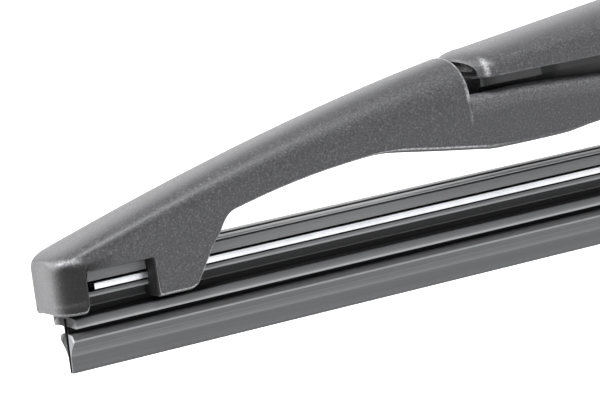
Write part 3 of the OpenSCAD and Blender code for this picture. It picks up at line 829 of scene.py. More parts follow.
# %% The refill and its two strips
REFILL = [(0.33, -0.1, 0), (0.37, 0.02, 0), (0.40, 0.2, 0.18), (0.43, 2.1, 0.2), (0.49, 2.25, 0.3),
          (0.75, 2.72, 0.14), (0.93, 3.1, 0.1), (0.99, 3.2, 0.22), (1.1, 3.3, 0.02), (1.6, 3.85, 0),
          (1.95, 4.2, 0), (2.0, 4.29, 1.0), (1.99, 4.45, 1.0), (1.95, 4.53, 0.3), (1.78, 4.85, 0.5),
          (1.5, 5.12, 0.7), (0.45, 5.2, 0), (0.45, 6.2, 0), (1.2, 6.25, 0), (3.0, 6.1, 0.1),
          (3.17, 6.25, 0.7), (3.2, 6.36, 1.0), (3.2, 6.48, 0.4), (3.2, 6.75, 0.2), (3.2, 7.2, 0.1),
          (3.12, 7.36, 0.1), (2.95, 7.42, 0.0), (1.45, 7.55, 0), (1.25, 7.8, 0), (1.25, 8.34, 0),
          (1.33, 8.44, 0.6), (1.25, 8.52, 0.1), (1.25, 9.5, 0.12), (1.3, 9.62, 0.06), (1.6, 9.68, 0.1),
          (2.55, 9.72, 0.3), (2.67, 9.83, 0.6), (2.7, 9.95, 0.75), (2.7, 10.08, 0.25),
          (2.7, 10.42, 0.12), (1.12, 10.42, 0), (1.12, 11.78, 0), (2.7, 11.78, 0.3), (2.7, 13.18, 0.3),
          (2.66, 13.23, 0), (2.3, 13.26, 0), (2.3, 13.38, 0), (2.58, 13.42, 1.0), (2.62, 13.52, 1.0),
          (2.5, 13.7, 1.0), (0.75, 13.7, 0.1), (0.6, 13.6, 0), (0.55, 12.9, 0)]
STRIP_INSET = 3.6
refill_outline = rounded(REFILL + [(-y, z, painted_corner_light) for y, z, painted_corner_light in reversed(REFILL)], 0.07, 2)
rubber = extruded("rubber_refill", refill_outline, 0.0, RUBBER_LEN, "chlorinated_rubber_skin")
strips = []
for name, side in (("steel_strip_front", -1), ("steel_strip_rear", 1)):
    strip = [(side * 1.2, 10.6), (side * 2.8, 10.6), (side * 2.8, 11.5), (side * 1.2, 11.5)]
    ends = (STRIP_INSET, RUBBER_LEN - STRIP_INSET)
    strips.append(extruded(name, rounded(strip, 0.17, 4), *ends, "rolled_stainless"))

# %% [markdown]
# The cut end of the refill shows a thin slit from the flange down to the lip. It is cut as a shallow
# groove that leans a little, as the knife left it. The cut makes new points, so the painted highlight
# tones are put on the mesh after it: each point takes the tone of the nearest corner of the outline.

# %% Slit in the rubber's ends
SLIT = [(-0.52, 7.25), (0.2, 7.25), (0.2, -0.3), (-0.1, -0.3)]


def slit(name, x):
    """A thin slanted block at one end of the rubber, used as a cutter."""
    bm = bmesh.new()
    rings = [[bm.verts.new(placed(x + dx, y, z)) for y, z in SLIT] for dx in (-3.0, 3.0)]
    for ring in rings:
        bm.faces.new(ring)
    for i in range(4):
        j = (i + 1) % 4
        bm.faces.new((rings[0][i], rings[0][j], rings[1][j], rings[1][i]))
    bmesh.ops.recalc_face_normals(bm, faces=bm.faces)
    return new_object(name, mesh_of(name, bm))


left_open = cut(rubber, [slit("slit_out", 0.1), slit("slit_in", RUBBER_LEN - 0.1)])
print("refill after the slits:", left_open, "open edges")
# Each point's painted highlight tone, taken from the nearest corner of the outline.
painted_point_lights = []
for vert in rubber.data.vertices:
    spot = (vert.co.y * 1000, vert.co.z * 1000 + FOOT_Z)
    painted_point_lights.append(min(refill_outline, key=lambda p: math.dist(p[:2], spot))[2])
rubber.data.attributes.new("edge", "FLOAT", "POINT").data.foreach_set("value", painted_point_lights)

# %% [markdown]
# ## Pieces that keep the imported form
# Clip, head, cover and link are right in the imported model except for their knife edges. A copy is
# merged, its flat faces are joined again, and the edges are bevelled. Real castings and mouldings
# never have knife edges, and the thin bright lines on the radii are what makes them readable.

# %% Bevelled copies
def sharp_edges(bm, degrees=30.0):
    """Edges where two faces meet at more than the given angle."""
    limit = math.radians(degrees)
    return [e for e in bm.edges if len(e.link_faces) == 2 and e.calc_face_angle(0.0) > limit]


def bevel(bm, edges, width, segments):
    """Rounds the edges by a width in millimetres."""
    bmesh.ops.bevel(bm, geom=edges, offset=width / 1000, segments=segments, profile=0.5,
                    affect="EDGES", clamp_overlap=True)


def bevelled(name, node_name, width, crown=None):
    """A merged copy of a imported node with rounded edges; crown = (height, width) for softer top edges."""
    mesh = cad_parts[node_name].data.copy()
    mesh.name = name
    mesh.materials.clear()
    bm = bmesh.new()
    bm.from_mesh(mesh)
    bmesh.ops.remove_doubles(bm, verts=bm.verts, dist=1e-6)
    bmesh.ops.dissolve_limit(bm, angle_limit=math.radians(1.0), verts=bm.verts, edges=bm.edges)
    if crown:
        high = (crown[0] - FOOT_Z) / 1000
        bevel(bm, [e for e in sharp_edges(bm) if all(v.co.z > high for v in e.verts)], crown[1], 6)
    bevel(bm, sharp_edges(bm), width, 3)
    bm.to_mesh(mesh)
    bm.free()
    return finished(name, mesh, 40.0, recalc=False)


clip = bevelled("clip", "pivot_clip", 0.25)
head = bevelled("cast_head", "arm_head", 0.4)
cover = bevelled("moulded_nut_cover", "nut_cover", 0.25, crown=(36.0, 1.2))
link = bevelled("stamped_link", "spring_link", 0.2)

# %% [markdown]
# ## Turned pieces
# Pins and the bush are turned parts, so a half outline spun round an axis is the natural way. The
# pins get a chamfer and a slightly domed end, and the bush gets a serrated bore, because a wiper
# spindle is knurled and bites into it.

# %% Pins and bush
TEETH_UNDER = 5.0


def turned(name, outline, centre, segments=64, upright=False, teeth=0.0):
    """Spins (radius, length) rows round the y axis, or round z for an upright piece.
    The outline is closed or runs from pole to pole. Teeth go on radii of the bore only."""
    bm = bmesh.new()
    cx, cy, cz = centre

    def vert(u, v, s):
        at = (cx + u, cy + v, cz + s) if upright else (cx + u, cy + s, cz + v)
        return bm.verts.new(placed(*at))

    rings = []
    for r, s in outline:
        ring = []
        for k in range(segments if r > 1e-6 else 1):
            a = 2 * math.pi * k / segments
            out = r + (teeth * (k % 2) if r < TEETH_UNDER else 0.0)
            ring.append(vert(out * math.cos(a), out * math.sin(a), s))
        rings.append(ring)
    pairs = list(zip(rings, rings[1:]))
    if outline[0][0] > 1e-6:
        pairs.append((rings[-1], rings[0]))
    for one, two in pairs:
        for k in range(segments):
            m = (k + 1) % segments
            corners = (one[k % len(one)], two[k % len(two)], two[m % len(two)], one[m % len(one)])
            bm.faces.new(list(dict.fromkeys(corners)))
    return finished(name, mesh_of(name, bm))


def pin(name, x, z, r, half):
    """A cross pin with chamfered, slightly domed ends and a small centre dimple."""
    end = [(0.0, half - 0.3), (0.12 * r, half - 0.28), (0.3 * r, half - 0.04), (0.34 * r, half),
           (0.62 * r, half - 0.03), (r - 0.36, half - 0.08), (r - 0.3, half - 0.12),
           (r - 0.04, half - 0.42), (r, half - 0.5)]
    return turned(name, end + [(a, -b) for a, b in reversed(end)], (x, 0, z))


hinge_pin = pin("turned_hinge_pin", HINGE_X, HINGE_Z, 2.25, 10.2)
anchor_pin = pin("turned_anchor_pin", ANCHOR_X, ANCHOR_Z, 1.5, arm_half(ANCHOR_X) - 1.05)
link_pin = pin("turned_link_pin", LINK_PIN_X, LINK_PIN_Z, 1.6, 7.4)
bridge_pin = pin("turned_bridge_pin", PIVOT_X, PIVOT_Z, 2.0, 4.78)
cover_pin = pin("turned_cover_pin", COVER_X, COVER_Z, 1.2, 9.3)
bush_wall = [(4.9, 0.0), (6.1, 0.0), (6.4, 0.3), (6.5, 0.5), (6.5, 13.6), (6.3, 14.0), (4.9, 14.0),
             (4.6, 13.7), (4.5, 13.5), (4.5, 0.5), (4.6, 0.3)]
bush = turned("sintered_bush", bush_wall, (SPINDLE_X, 0, FOOT_Z), segments=144, upright=True, teeth=0.22)

# %% [markdown]
# ## The spring
# The spring is wire along a path: a hook through the link's hole, 32 turns, and an eye round the
# anchor pin. The eye is long, because the pin moves 1.8 mm in it while the arm lifts: a drawn eye
# leaves room for that, where a tight round one would cut through the pin. The path is a curve made
# from points, and a second node group resamples it and sweeps a round wire along it, so the bends of
# the hook come out soft.

# %% A node group that sweeps a wire
wire_group, wire_in, wire_out = new_group("wire")
WIRE_ID = group_input(wire_group, "Wire radius", "NodeSocketFloat")
STEP_ID = group_input(wire_group, "Step", "NodeSocketFloat")
FINISH_ID = group_input(wire_group, "Material", "NodeSocketMaterial")
resample = wire_group.nodes.new("GeometryNodeResampleCurve")
resample.mode = "LENGTH"
ring = wire_group.nodes.new("GeometryNodeCurvePrimitiveCircle")
ring.inputs["Resolution"].default_value = 12
wire_sweep = wire_group.nodes.new("GeometryNodeCurveToMesh")
wire_sweep.inputs["Fill Caps"].default_value = True
join(wire_group, (wire_in.outputs["Geometry"], resample.inputs["Curve"]),
     (wire_in.outputs["Step"], resample.inputs["Length"]),
     (resample.outputs["Curve"], wire_sweep.inputs["Curve"]),
     (wire_in.outputs["Wire radius"], ring.inputs["Radius"]),
     (ring.outputs["Curve"], wire_sweep.inputs["Profile Curve"]))
end_group(wire_group, wire_sweep.outputs["Mesh"], wire_in.outputs["Material"], wire_out)
print("wire group:", len(wire_group.nodes), "nodes")

# %% [markdown]
# The path is written along the spring's own line, from the link pin towards the anchor pin, and one
# function places it. The turns and the eye are loops, and only the hook's bends are single points.

# %% The spring's path
RUN_X, RUN_Z = LINK_PIN_X - ANCHOR_X, ANCHOR_Z - LINK_PIN_Z
LINE_ANGLE, LINE_LEN = math.atan2(RUN_Z, RUN_X), math.hypot(RUN_Z, RUN_X)
COIL_R, WIRE_R, TURNS, COIL_FROM, COIL_TO = 2.4, 0.55, 32, 25.0, LINE_LEN - 5.5
EYE_R, EYE_PLAY = 2.4, 1.85


def on_line(s, v, w):
    """A point given along the spring's line, from the link pin towards the anchor pin."""
    return placed(LINK_PIN_X - s * math.cos(LINE_ANGLE) + w * math.sin(LINE_ANGLE), v,
                  LINK_PIN_Z + s * math.sin(LINE_ANGLE) + w * math.cos(LINE_ANGLE))


spring_path = [(20.0, -2.4, 0), (20.0, -1.2, 0), (20.0, 0, 0), (20.0, 1.2, 0), (20.3, 1.9, 0),
               (20.9, 2.4, 0), (22.2, 2.5, 0), (23.8, 2.4, 0)]
for i in range(TURNS * 20 + 1):
    a = 2 * math.pi * i / 20
    s = COIL_FROM + (COIL_TO - COIL_FROM) * i / (TURNS * 20)
    spring_path.append((s, COIL_R * math.cos(a), COIL_R * math.sin(a)))
spring_path += [(COIL_TO + 0.5, 2.2, -0.3), (COIL_TO + 1.4, COIL_R * 0.7, -0.9), (COIL_TO + 2.4, 0.3, -1.8)]
for i in range(19):
    a = math.radians(15 * i - 130)
    far = EYE_PLAY if math.cos(a) > 0 else 0.0
    spring_path.append((LINE_LEN + EYE_R * math.cos(a) + far, 0, EYE_R * math.sin(a)))
spring = path_object("wound_spring", [on_line(*at) for at in spring_path], False)
spring = run_group(spring, wire_group, {WIRE_ID: WIRE_R / 1000, STEP_ID: 0.0006,
                                        FINISH_ID: named_material("zinc_plated_wire")})
print("spring:", len(spring.data.polygons), "faces,", finish_mesh(spring.data), "open edges")

# %% [markdown]
# ## What moves with what
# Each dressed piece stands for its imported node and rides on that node's body, so the joints of the
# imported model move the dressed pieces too.

# %% Bodies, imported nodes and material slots
DRESSED = [
    (bridge, "blade", "blade_bridge", "bridge_plastic"),
    (rubber, "blade", "wiper_rubber", "wiper_rubber"),
    (strips[0], "blade", "flexor_front", "flexor_steel"),
    (strips[1], "blade", "flexor_rear", "flexor_steel"),
    (bridge_pin, "blade", "bridge_pin", "pin_steel"),
    (arm, "arm", "arm_shell", "arm_plastic"),
    (clip, "arm", "pivot_clip", "clip_plastic"),
    (hinge_pin, "arm", "arm_hinge_pin", "pin_steel"),
    (anchor_pin, "arm", "spring_anchor_pin", "pin_steel"),
    (spring, "link", "tension_spring", "spring_steel"),
    (link, "link", "spring_link", "link_steel"),
    (head, "head", "arm_head", "head_metal"),
    (bush, "head", "spindle_bush", "bush_steel"),
    (link_pin, "head", "link_pin", "pin_steel"),
    (cover_pin, "head", "cover_pin", "pin_steel"),
    (cover, "cover", "nut_cover", "bridge_plastic")]
for obj, body, node_name, slot_name in DRESSED:
    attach(obj, body)
    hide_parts(node_name)

# %% [markdown]
# ## Materials
# Colours are written as sRGB hex and made linear by one function. One helper adds a shader node with
# its settings and links. All patterns read Object coordinates, and since every object sits at the
# frame's origin these are the frame's metres: a noise scale of 3000 means grains of a third of a
# millimetre.

# %% Helpers for materials
def linear(hex_colour):
    """sRGB hex to a linear colour."""
    parts = [int(hex_colour[i:i + 2], 16) / 255 for i in (1, 3, 5)]
    return tuple(c / 12.92 if c <= 0.04045 else ((c + 0.055) / 1.055) ** 2.4 for c in parts) + (1.0,)


def new_material(name):
    """A node material with an empty shader; returns material, tree, shader."""
    mat = named_material(name)
    mat.use_nodes = True
    tree = mat.node_tree
    tree.nodes.clear()
    shader = tree.nodes.new("ShaderNodeBsdfPrincipled")
    out = tree.nodes.new("ShaderNodeOutputMaterial")
    tree.links.new(shader.outputs["BSDF"], out.inputs["Surface"])
    return mat, tree, shader


def add(tree, kind, inputs, **settings):
    """Adds a node, sets its properties, and fills its inputs with values or links."""
    item = tree.nodes.new(kind)
    for key, value in settings.items():
        setattr(item, key, value)
    for key, value in inputs.items():
        if isinstance(value, bpy.types.NodeSocket):
            tree.links.new(value, item.inputs[key])
        else:
            item.inputs[key].default_value = value
    return item


def fill(tree, shader, **inputs):
    """Fills the shader's inputs, whose names are written with _ for each space."""
    for key, value in inputs.items():
        socket = shader.inputs[key.replace("_", " ")]
        if isinstance(value, bpy.types.NodeSocket):
            tree.links.new(value, socket)
        else:
            socket.default_value = value


def noise(tree, scale, stretch=(1, 1, 1), detail=2.0, rough=0.5):
    """Noise in the part's own metres; stretch makes it longer along an axis."""
    coords = add(tree, "ShaderNodeTexCoord", {})
    mapped = add(tree, "ShaderNodeMapping", {"Vector": coords.outputs["Object"], "Scale": stretch})
    values = {"Vector": mapped.outputs["Vector"], "Scale": scale, "Detail": detail, "Roughness": rough}
    return add(tree, "ShaderNodeTexNoise", values).outputs["Fac"]


def ramp(tree, fac, *stops):
    """A colour ramp from pairs of place and sRGB colour."""
    item = add(tree, "ShaderNodeValToRGB", {"Fac": fac})
    elements = item.color_ramp.elements
    while len(elements) < len(stops):
        elements.new(0.5)
    for element, (place, colour) in zip(elements, stops):
        element.position, element.color = place, linear(colour)
    return item.outputs["Color"]


# %% [markdown]
# A few more helpers name what the materials do with these patterns: map a factor to a range, combine
# two factors, mix two colours, stack bumps, and read the painted light mark that the modelling cells stored.

# %% Helpers for factors and bumps
def spread(tree, fac, low, high, lo_in=0.0, hi_in=1.0):
    """Maps a factor to a range."""
    values = {"Value": fac, "From Min": lo_in, "From Max": hi_in, "To Min": low, "To Max": high}
    return add(tree, "ShaderNodeMapRange", values).outputs["Result"]


def combine(tree, how, one, two):
    """Combines two factors by one of the math node's operations."""
    return add(tree, "ShaderNodeMath", {0: one, 1: two}, operation=how).outputs["Value"]


def blend_colours(tree, fac, one, two):
    """Mixes two colours by a factor."""
    return add(tree, "ShaderNodeMix", {0: fac, 6: one, 7: two}, data_type="RGBA").outputs[2]


def painted_light_mark(tree):
    """The edge attribute that the modelling cells wrote on the points: painted highlight above 0, painted
    shade below 0.
    """
    return add(tree, "ShaderNodeAttribute", {}, attribute_name="edge").outputs["Fac"]


def bump(tree, shader, *layers):
    """Stacks bumps (height, strength, distance in mm) on the shader's normal."""
    normal = None
    for height, strength, distance in layers:
        inputs = {"Height": height, "Strength": strength, "Distance": distance / 1000}
        if normal:
            inputs["Normal"] = normal
        normal = add(tree, "ShaderNodeBump", inputs).outputs["Normal"]
    tree.links.new(normal, shader.inputs["Normal"])


def wear(obj, *materials):
    """Gives the piece its materials."""
    obj.data.materials.clear()
    for material in materials:
        obj.data.materials.append(material)


# %% [markdown]
# ### Moulded black plastic
# The bridge and the arm come from spark-eroded moulds: the surface is a field of tiny craters. In
# grazing light it sparkles, and face on it looks a dull dark grey. Two noises, one at a third of a
# millimetre and one finer, give the craters; the roughness follows the coarse one, so that some
# grains glint. Marks above 0 are painted highlights that turn it pale grey, and marks below 0 are
# painted shade, nearly black and dull.

# %% Spark-eroded plastic
# Colours of the painted highlight on edges and of the painted shade, which the clip uses too.
PAINTED_HIGHLIGHT_GREY, PAINTED_SHADE_BLACK = "#A6A6A8", "#060606"


def eroded_plastic(name, dark, light, glint):
    """Grained plastic, pale where a highlight is painted on an edge, and nearly black and dull where shade is
    painted.
    """
    mat, tree, shader = new_material(name)
    coarse = noise(tree, 3600, rough=0.6)
    fine = noise(tree, 8000, detail=1.0)
    grain = ramp(tree, coarse, (0.35, dark), (0.58, light), (0.7, glint))
    # Above 0 the edge mark paints a highlight, broken up by the grain; below 0 it paints shade, with less
    # specular.
    edge = combine(tree, "MULTIPLY", painted_light_mark(tree), spread(tree, coarse, 0.35, 1.0, 0.4, 0.6))
    unshaded = spread(tree, painted_light_mark(tree), 0.0, 1.0, -1.0, 0.0)
    grain_with_painted_shade = blend_colours(tree, unshaded, linear(PAINTED_SHADE_BLACK), grain)
    fill(tree, shader, Base_Color=blend_colours(tree, edge, grain_with_painted_shade, linear(PAINTED_HIGHLIGHT_GREY)),
         Roughness=spread(tree, coarse, 0.34, 0.56, 0.35, 0.65), IOR=1.5,
         Specular_IOR_Level=spread(tree, painted_light_mark(tree), 0.2, 0.5, -1.0, 0.0))
    bump(tree, shader, (coarse, 0.8, 0.04), (fine, 0.5, 0.015))
    return mat


bridge_plastic = eroded_plastic("spark_eroded_asa_bridge", "#262628", "#3B3B3D", "#565658")
arm_plastic = eroded_plastic("spark_eroded_pbt_arm", "#29292B", "#3E3E40", "#5A5A5C")
wear(cover, bridge_plastic)
wear(arm, arm_plastic)
print("grained plastics:", bridge_plastic.name, "and", arm_plastic.name)

# %% [markdown]
# ### The core side of the bridge
# The faces that the mould's core made, inside and in the claw windows, are smooth, since a polished
# core leaves no craters, and are painted dark as the shade that falls in those recesses. They are a
# second material on the bridge, chosen face by face from where a face lies and where it looks.

# %% Smooth core side
def core_plastic(name):
    """Smooth plastic painted dark as shade, with a faint flow pattern."""
    mat, tree, shader = new_material(name)
    flow = noise(tree, 700)
    fill(tree, shader, Base_Color=ramp(tree, flow, (0.3, "#161617"), (0.7, "#1C1C1D")), IOR=1.5,
         Roughness=spread(tree, flow, 0.5, 0.6), Specular_IOR_Level=spread(tree, flow, 0.25, 0.35))
    bump(tree, shader, (flow, 0.1, 0.02))
    return mat


def on_core_side(face):
    """True for a face in a claw window or on an inner wall."""
    x, z = face.center.x * 1000 + SPINDLE_X, face.center.z * 1000 + FOOT_Z
    reveal = z < 13.6 and abs(face.normal.x) > 0.7
    lintel = 13.0 < z < 13.7 and face.normal.z < -0.25
    inner_wall = face.normal.y * face.center.y < 0 and abs(face.normal.y) > 0.9
    return 1.0 < from_end(x) < 12.5 and (reveal or lintel) or inner_wall


# Faces in the claw windows and on the inner walls get the plastic painted dark as shade.
wear(bridge, bridge_plastic, core_plastic("painted_shade_core_side_asa"))
for face in bridge.data.polygons:
    face.material_index = 1 if on_core_side(face) else 0
print(sum(face.material_index for face in bridge.data.polygons), "smooth faces on the bridge")

# %% [markdown]
# ### Acetal clip
# The clip is a smooth acetal moulding. Its lower part, below a line that falls towards the rear, and
# the part behind the step are painted nearly black as shade. A second material on some faces would cut
# the shade off at an edge, so one shader mixes both along that line.

# %% Smooth acetal of the clip
# Where the painted shade on the clip begins: its slanting line and its front.
SHADE_FALL, SHADE_X, SHADE_Z = 0.085, 67.0, 26.9
CLIP_FRONT, CLIP_STEP = 66.4, PIVOT_X + 0.5


def along_blade(tree, x, start, end, low, high):
    """A factor that runs from low to high between two places along the blade, in millimetres."""
    return spread(tree, x, low, high, placed(start, 0, 0)[0], placed(end, 0, 0)[0])


def shaded_acetal(name):
    """Smooth plastic with painted shade below a slanting line and behind the step."""
    mat, tree, shader = new_material(name)
    film = noise(tree, 900)
    place = add(tree, "ShaderNodeTexCoord", {}).outputs["Object"]
    slope = (SHADE_FALL, 0.0, 1.0)
    slanting = add(tree, "ShaderNodeVectorMath", {0: place, 1: slope}, operation="DOT_PRODUCT")
    line = (SHADE_Z - FOOT_Z + SHADE_FALL * (SHADE_X - SPINDLE_X)) / 1000
    # Below the line and behind the step the clip is painted nearly black as shade; its lit front stays clear.
    below = spread(tree, slanting.outputs["Value"], 1.0, 0.0, line - 0.0008, line + 0.0001)
    x = add(tree, "ShaderNodeSeparateXYZ", {"Vector": place}).outputs["X"]
    behind = along_blade(tree, x, CLIP_STEP, CLIP_STEP + 0.3, 0.0, 0.6)
    lighter_further_back = along_blade(tree, x, CLIP_STEP + 2.7, CLIP_STEP + 3.9, 0.0, 0.4)
    in_front = along_blade(tree, x, SHADE_X, SHADE_X + 2.6, 0.5, 0.0)
    shade_from_front = along_blade(tree, x, CLIP_FRONT + 0.03, CLIP_FRONT + 0.3, 0.0, 1.0)
    ends = combine(tree, "MAXIMUM", combine(tree, "SUBTRACT", behind, lighter_further_back), in_front)
    clip_painted_shade = combine(tree, "MULTIPLY", combine(tree, "MAXIMUM", below, ends), shade_from_front)
    unshaded = ramp(tree, film, (0.3, "#272729"), (0.7, "#2D2D2F"))
    fill(tree, shader, Base_Color=blend_colours(tree, clip_painted_shade, unshaded, linear(PAINTED_SHADE_BLACK)), IOR=1.48,
         Roughness=spread(tree, clip_painted_shade, 0.46, 0.7), Specular_IOR_Level=spread(tree, clip_painted_shade, 0.5, 0.15))
    bump(tree, shader, (film, 0.1, 0.02))
    return mat


wear(clip, shaded_acetal("smooth_acetal_painted_shade"))
# The painted shade on the clip starts at this height and place.
print("stain reaches", SHADE_Z, "mm above the lip at x =", SHADE_X)

# %% [markdown]
# ### Extruded rubber
# The die leaves fine lines along the length, so the noise is stretched a hundredfold along x. The
# cut ends are another surface: torn by the knife, matt and paler, so they get their own material.
# The deep grooves and the slits are painted nearly black as shade.

# %% Rubber
def extruded_rubber(name, dark, light, rough, stretch, depth, sheen=0.5):
    """Rubber with fine lines along its stretch; the painted highlight tone on the mesh makes it paler."""
    mat, tree, shader = new_material(name)
    lines = noise(tree, 1700, stretch, detail=3.0)
    streaks = ramp(tree, lines, (0.35, dark), (0.65, light))
    # The mark on the mesh paints highlights by mixing in a pale grey.
    painted_paler_share = spread(tree, painted_light_mark(tree), 0.0, 0.8)
    fill(tree, shader, Base_Color=blend_colours(tree, painted_paler_share, streaks, linear("#A8A9AB")), IOR=1.52,
         Roughness=spread(tree, lines, rough - 0.06, rough + 0.08, 0.3, 0.7), Specular_IOR_Level=sheen)
    bump(tree, shader, (lines, 0.5, depth), (noise(tree, 5000, detail=1.0), 0.25, 0.015))
    return mat


def in_groove(face):
    """True for a face in one of the refill's grooves or in the slit of a cut end."""
    x, z = face.center.x * 1000 + SPINDLE_X, face.center.z * 1000 + FOOT_Z
    y = abs(face.center.y) * 1000
    neck, claw_groove = y < 2.9 and 5.05 < z < 6.27, y < 2.45 and 7.4 < z < 9.7
    strip_slot, top_slot = y < 2.6 and 10.4 < z < 11.8, y < 0.6 and z > 12.8
    upright = abs(face.normal.y) > 0.9 or abs(face.normal.x) > 0.9
    in_slit = 0.01 < from_end(x) < 4 and y < 0.6 and z < 7.3 and upright
    return neck or claw_groove or strip_slot or top_slot or in_slit


rubber_skin = extruded_rubber("chlorinated_rubber_skin", "#1E1F21", "#343537", 0.38, (0.01, 1, 1), 0.04)
rubber_cut = extruded_rubber("knife_cut_rubber", "#505153", "#5A5B5D", 0.7, (1, 1, 0.2), 0.05)
# Rubber for grooves and slits, painted nearly black as shade.
rubber_groove = extruded_rubber("painted_shade_rubber_groove", "#070707", "#0E0E0F", 0.75, (0.02, 1, 1), 0.03, 0.2)
wear(rubber, rubber_skin, rubber_cut, rubber_groove)
for face in rubber.data.polygons:
    face.material_index = 2 if in_groove(face) else 1 if abs(face.normal.x) > 0.9 else 0
print("refill:", sum(face.material_index == 2 for face in rubber.data.polygons), "faces in grooves")

# %% [markdown]
# ### Bare and plated metals
# The strips are bright rolled stainless with faint lines along the length. Spring, link and pins are
# zinc plated: greyer, softer, with a cloudy tone. The bush is sintered, with open pores between the
# grains. All are one recipe with different colours and grains, since bare metal differs in little
# more than those.

# %% Metals
def metal(name, dark, light, rough, stretch, scale, depth):
    """Bare or plated metal: a cloudy tone and a fine grain."""
    mat, tree, shader = new_material(name)
    grain = noise(tree, scale, stretch, detail=3.0)
    fill(tree, shader, Base_Color=ramp(tree, noise(tree, 260), (0.3, dark), (0.7, light)), Metallic=1.0,
         Roughness=spread(tree, grain, rough - 0.06, rough + 0.08, 0.3, 0.7))
    bump(tree, shader, (grain, 0.3, depth))
    return mat


rolled_stainless = metal("rolled_stainless", "#B6B8BB", "#C8C9CC", 0.28, (0.02, 1, 1), 2500, 0.01)
zinc_wire = metal("zinc_plated_wire", "#9C9FA5", "#B4B6BA", 0.34, (1, 1, 1), 1800, 0.01)
zinc_stamping = metal("zinc_plated_stamping", "#A2A5AA", "#B8BABD", 0.38, (1, 1, 0.3), 1500, 0.015)
ground_pin = metal("ground_plated_pin", "#A9ABB0", "#C0C2C5", 0.3, (1, 0.3, 1), 3000, 0.008)
sintered_iron = metal("sintered_oiled_iron", "#6B655B", "#857D70", 0.5, (1, 1, 1), 4000, 0.05)
for strip in strips:
    wear(strip, rolled_stainless)
wear(spring, zinc_wire)
wear(link, zinc_stamping)
for item in (hinge_pin, anchor_pin, link_pin, bridge_pin, cover_pin):
    wear(item, ground_pin)
wear(bush, sintered_iron)
metals = (rolled_stainless, zinc_wire, zinc_stamping, ground_pin, sintered_iron)
print("metals:", ", ".join(item.name for item in metals))

# %% [markdown]
# ### Coated casting
# The head is a die casting under a matt black powder coat. The coat flows a little before it sets,
# which leaves a soft orange peel about a millimetre across with a finer tooth on it.

# %% Powder-coated head
def powder_coat(name):
    """Matt black coating with orange peel."""
    mat, tree, shader = new_material(name)
    peel = noise(tree, 1400)
    fill(tree, shader, Base_Color=ramp(tree, noise(tree, 90), (0.3, "#2E2E30"), (0.7, "#343436")), IOR=1.5,
         Roughness=spread(tree, peel, 0.4, 0.56, 0.3, 0.7))
    bump(tree, shader, (peel, 0.45, 0.06), (noise(tree, 6000, detail=1.0), 0.3, 0.02))
    return mat


wear(head, powder_coat("powder_coated_die_casting"))
print(len(bpy.data.materials), "materials in the file")

# %% [markdown]
# ## Floor
# The photograph is a cut-out on white. The floor is pale and lies well below the rubber, so its
# shadows stay under the picture. It glows only for rays that reach the camera, straight or by way of
# a mirror or glass, and so it looks white without putting more light on the object.

# %% Floor
def seen_by_camera(tree):
    """1 on rays that show a surface to the camera, and 0 on rays that only light the object."""
    paths = add(tree, "ShaderNodeLightPath", {}).outputs
    straight = combine(tree, "MAXIMUM", paths["Is Camera Ray"], paths["Is Transmission Ray"])
    return combine(tree, "MAXIMUM", straight, paths["Is Glossy Ray"])


def table_white(name):
    """Pale table top with a faint mottle and a glow that only the camera sees."""
    mat, tree, shader = new_material(name)
    mottle = noise(tree, 4, detail=3.0)
    fill(tree, shader, Base_Color=ramp(tree, mottle, (0.3, "#E2E2E2"), (0.7, "#E6E6E6")), Roughness=0.9,
         Emission_Color=(1, 1, 1, 1), Emission_Strength=combine(tree, "MULTIPLY", seen_by_camera(tree), 0.45))
    return mat


floor_bm = bmesh.new()
bmesh.ops.create_circle(floor_bm, cap_ends=True, segments=96, radius=4.0)
bmesh.ops.translate(floor_bm, verts=floor_bm.verts, vec=(-0.15, 0, -0.049))
floor = new_object("floor", mesh_of("floor", floor_bm))
wear(floor, table_white("white_table"))
print("floor lies", round(-1000 * floor.data.vertices[0].co.z - FOOT_Z, 1), "mm below the lip")

# %% [markdown]
# ## Surrounding light
# The world is white where the camera sees it or its mirror image, and much dimmer as a light, so
# that the black plastic keeps its depth against the white ground.

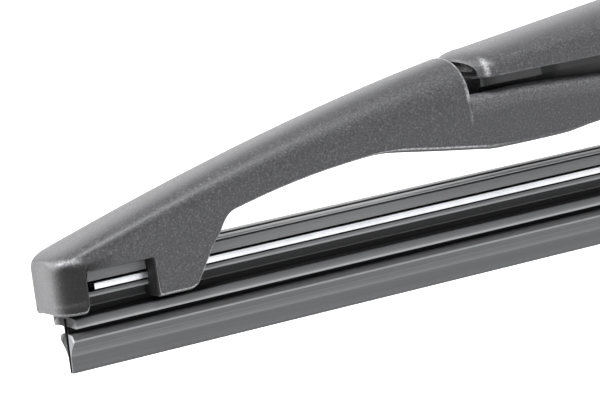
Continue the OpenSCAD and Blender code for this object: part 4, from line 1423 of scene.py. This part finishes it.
# %% Surrounding light
world = bpy.data.worlds.new("studio")
bpy.context.scene.world = world
world.use_nodes = True
tree = world.node_tree
tree.nodes.clear()
seen = add(tree, "ShaderNodeBackground", {"Color": (1, 1, 1, 1), "Strength": 1.0}).outputs["Background"]
lit = add(tree, "ShaderNodeBackground", {"Color": (1, 1, 1, 1), "Strength": 0.17}).outputs["Background"]
both = add(tree, "ShaderNodeMixShader", {0: seen_by_camera(tree), 1: lit, 2: seen})
add(tree, "ShaderNodeOutputWorld", {"Surface": both.outputs["Shader"]})
print("world:", len(tree.nodes), "nodes")

# %% [markdown]
# ## Lamps
# The main light is one broad source high on the left, which draws the highlight along the crowns. A
# smaller one overhead lifts the sides, and two weak ones behind and in front soften the shadows.

# %% Lamps
MIDDLE = (-0.22, 0.0, 0.01)


def lamp(name, place, size, power):
    """A square soft light at a place, turned to the middle of the object; metres and watts."""
    data = bpy.data.lights.new(name, "AREA")
    data.shape, data.size, data.energy = "SQUARE", size, power
    obj = new_object(name, data)
    obj.location = place
    obj.rotation_euler = (Vector(MIDDLE) - Vector(place)).to_track_quat("-Z", "Y").to_euler()
    obj.visible_camera = False


lamp("left", (-1.15, 0.5, 0.45), 1.2, 38)
lamp("back", (0.15, 1.2, 0.7), 0.9, 4)
lamp("over", (-0.35, -0.4, 1.0), 0.35, 14)
lamp("fill", (0.5, -1.0, 0.5), 0.6, 1)
print("lamps:", len(bpy.data.lights), "with", sum(light.energy for light in bpy.data.lights), "watts in all")

# %% [markdown]
# ## Camera
# The camera stands where the picture was taken: in front of the outboard end, a little above the
# blade and turned slightly about its own axis. Its place and axes were found by fitting the edges of
# bridge, arm and refill to the picture. The three axes are its right, its up and its back.

# %% Camera
CAMERA_AT = (-0.46675, -0.34587, 0.06772)
CAMERA_AXES = ((0.8438, -0.521, -0.129), (0.1897, 0.0646, 0.9797), (-0.5021, -0.8511, 0.1533))
cam_data = bpy.data.cameras.new("photo_camera")
cam_data.lens, cam_data.sensor_width = 180.0, 36.0
cam_data.clip_start, cam_data.clip_end = 0.01, 50.0
camera = new_object("photo_camera", cam_data)
turn = Matrix(CAMERA_AXES).transposed().to_quaternion().to_matrix().to_4x4()
camera.matrix_world = Matrix.Translation(CAMERA_AT) @ turn
bpy.context.scene.camera = camera
bpy.context.scene.view_settings.view_transform = "Standard"
print("camera:", cam_data.lens, "mm lens,", round(math.dist(CAMERA_AT, MIDDLE), 3), "m from the middle")
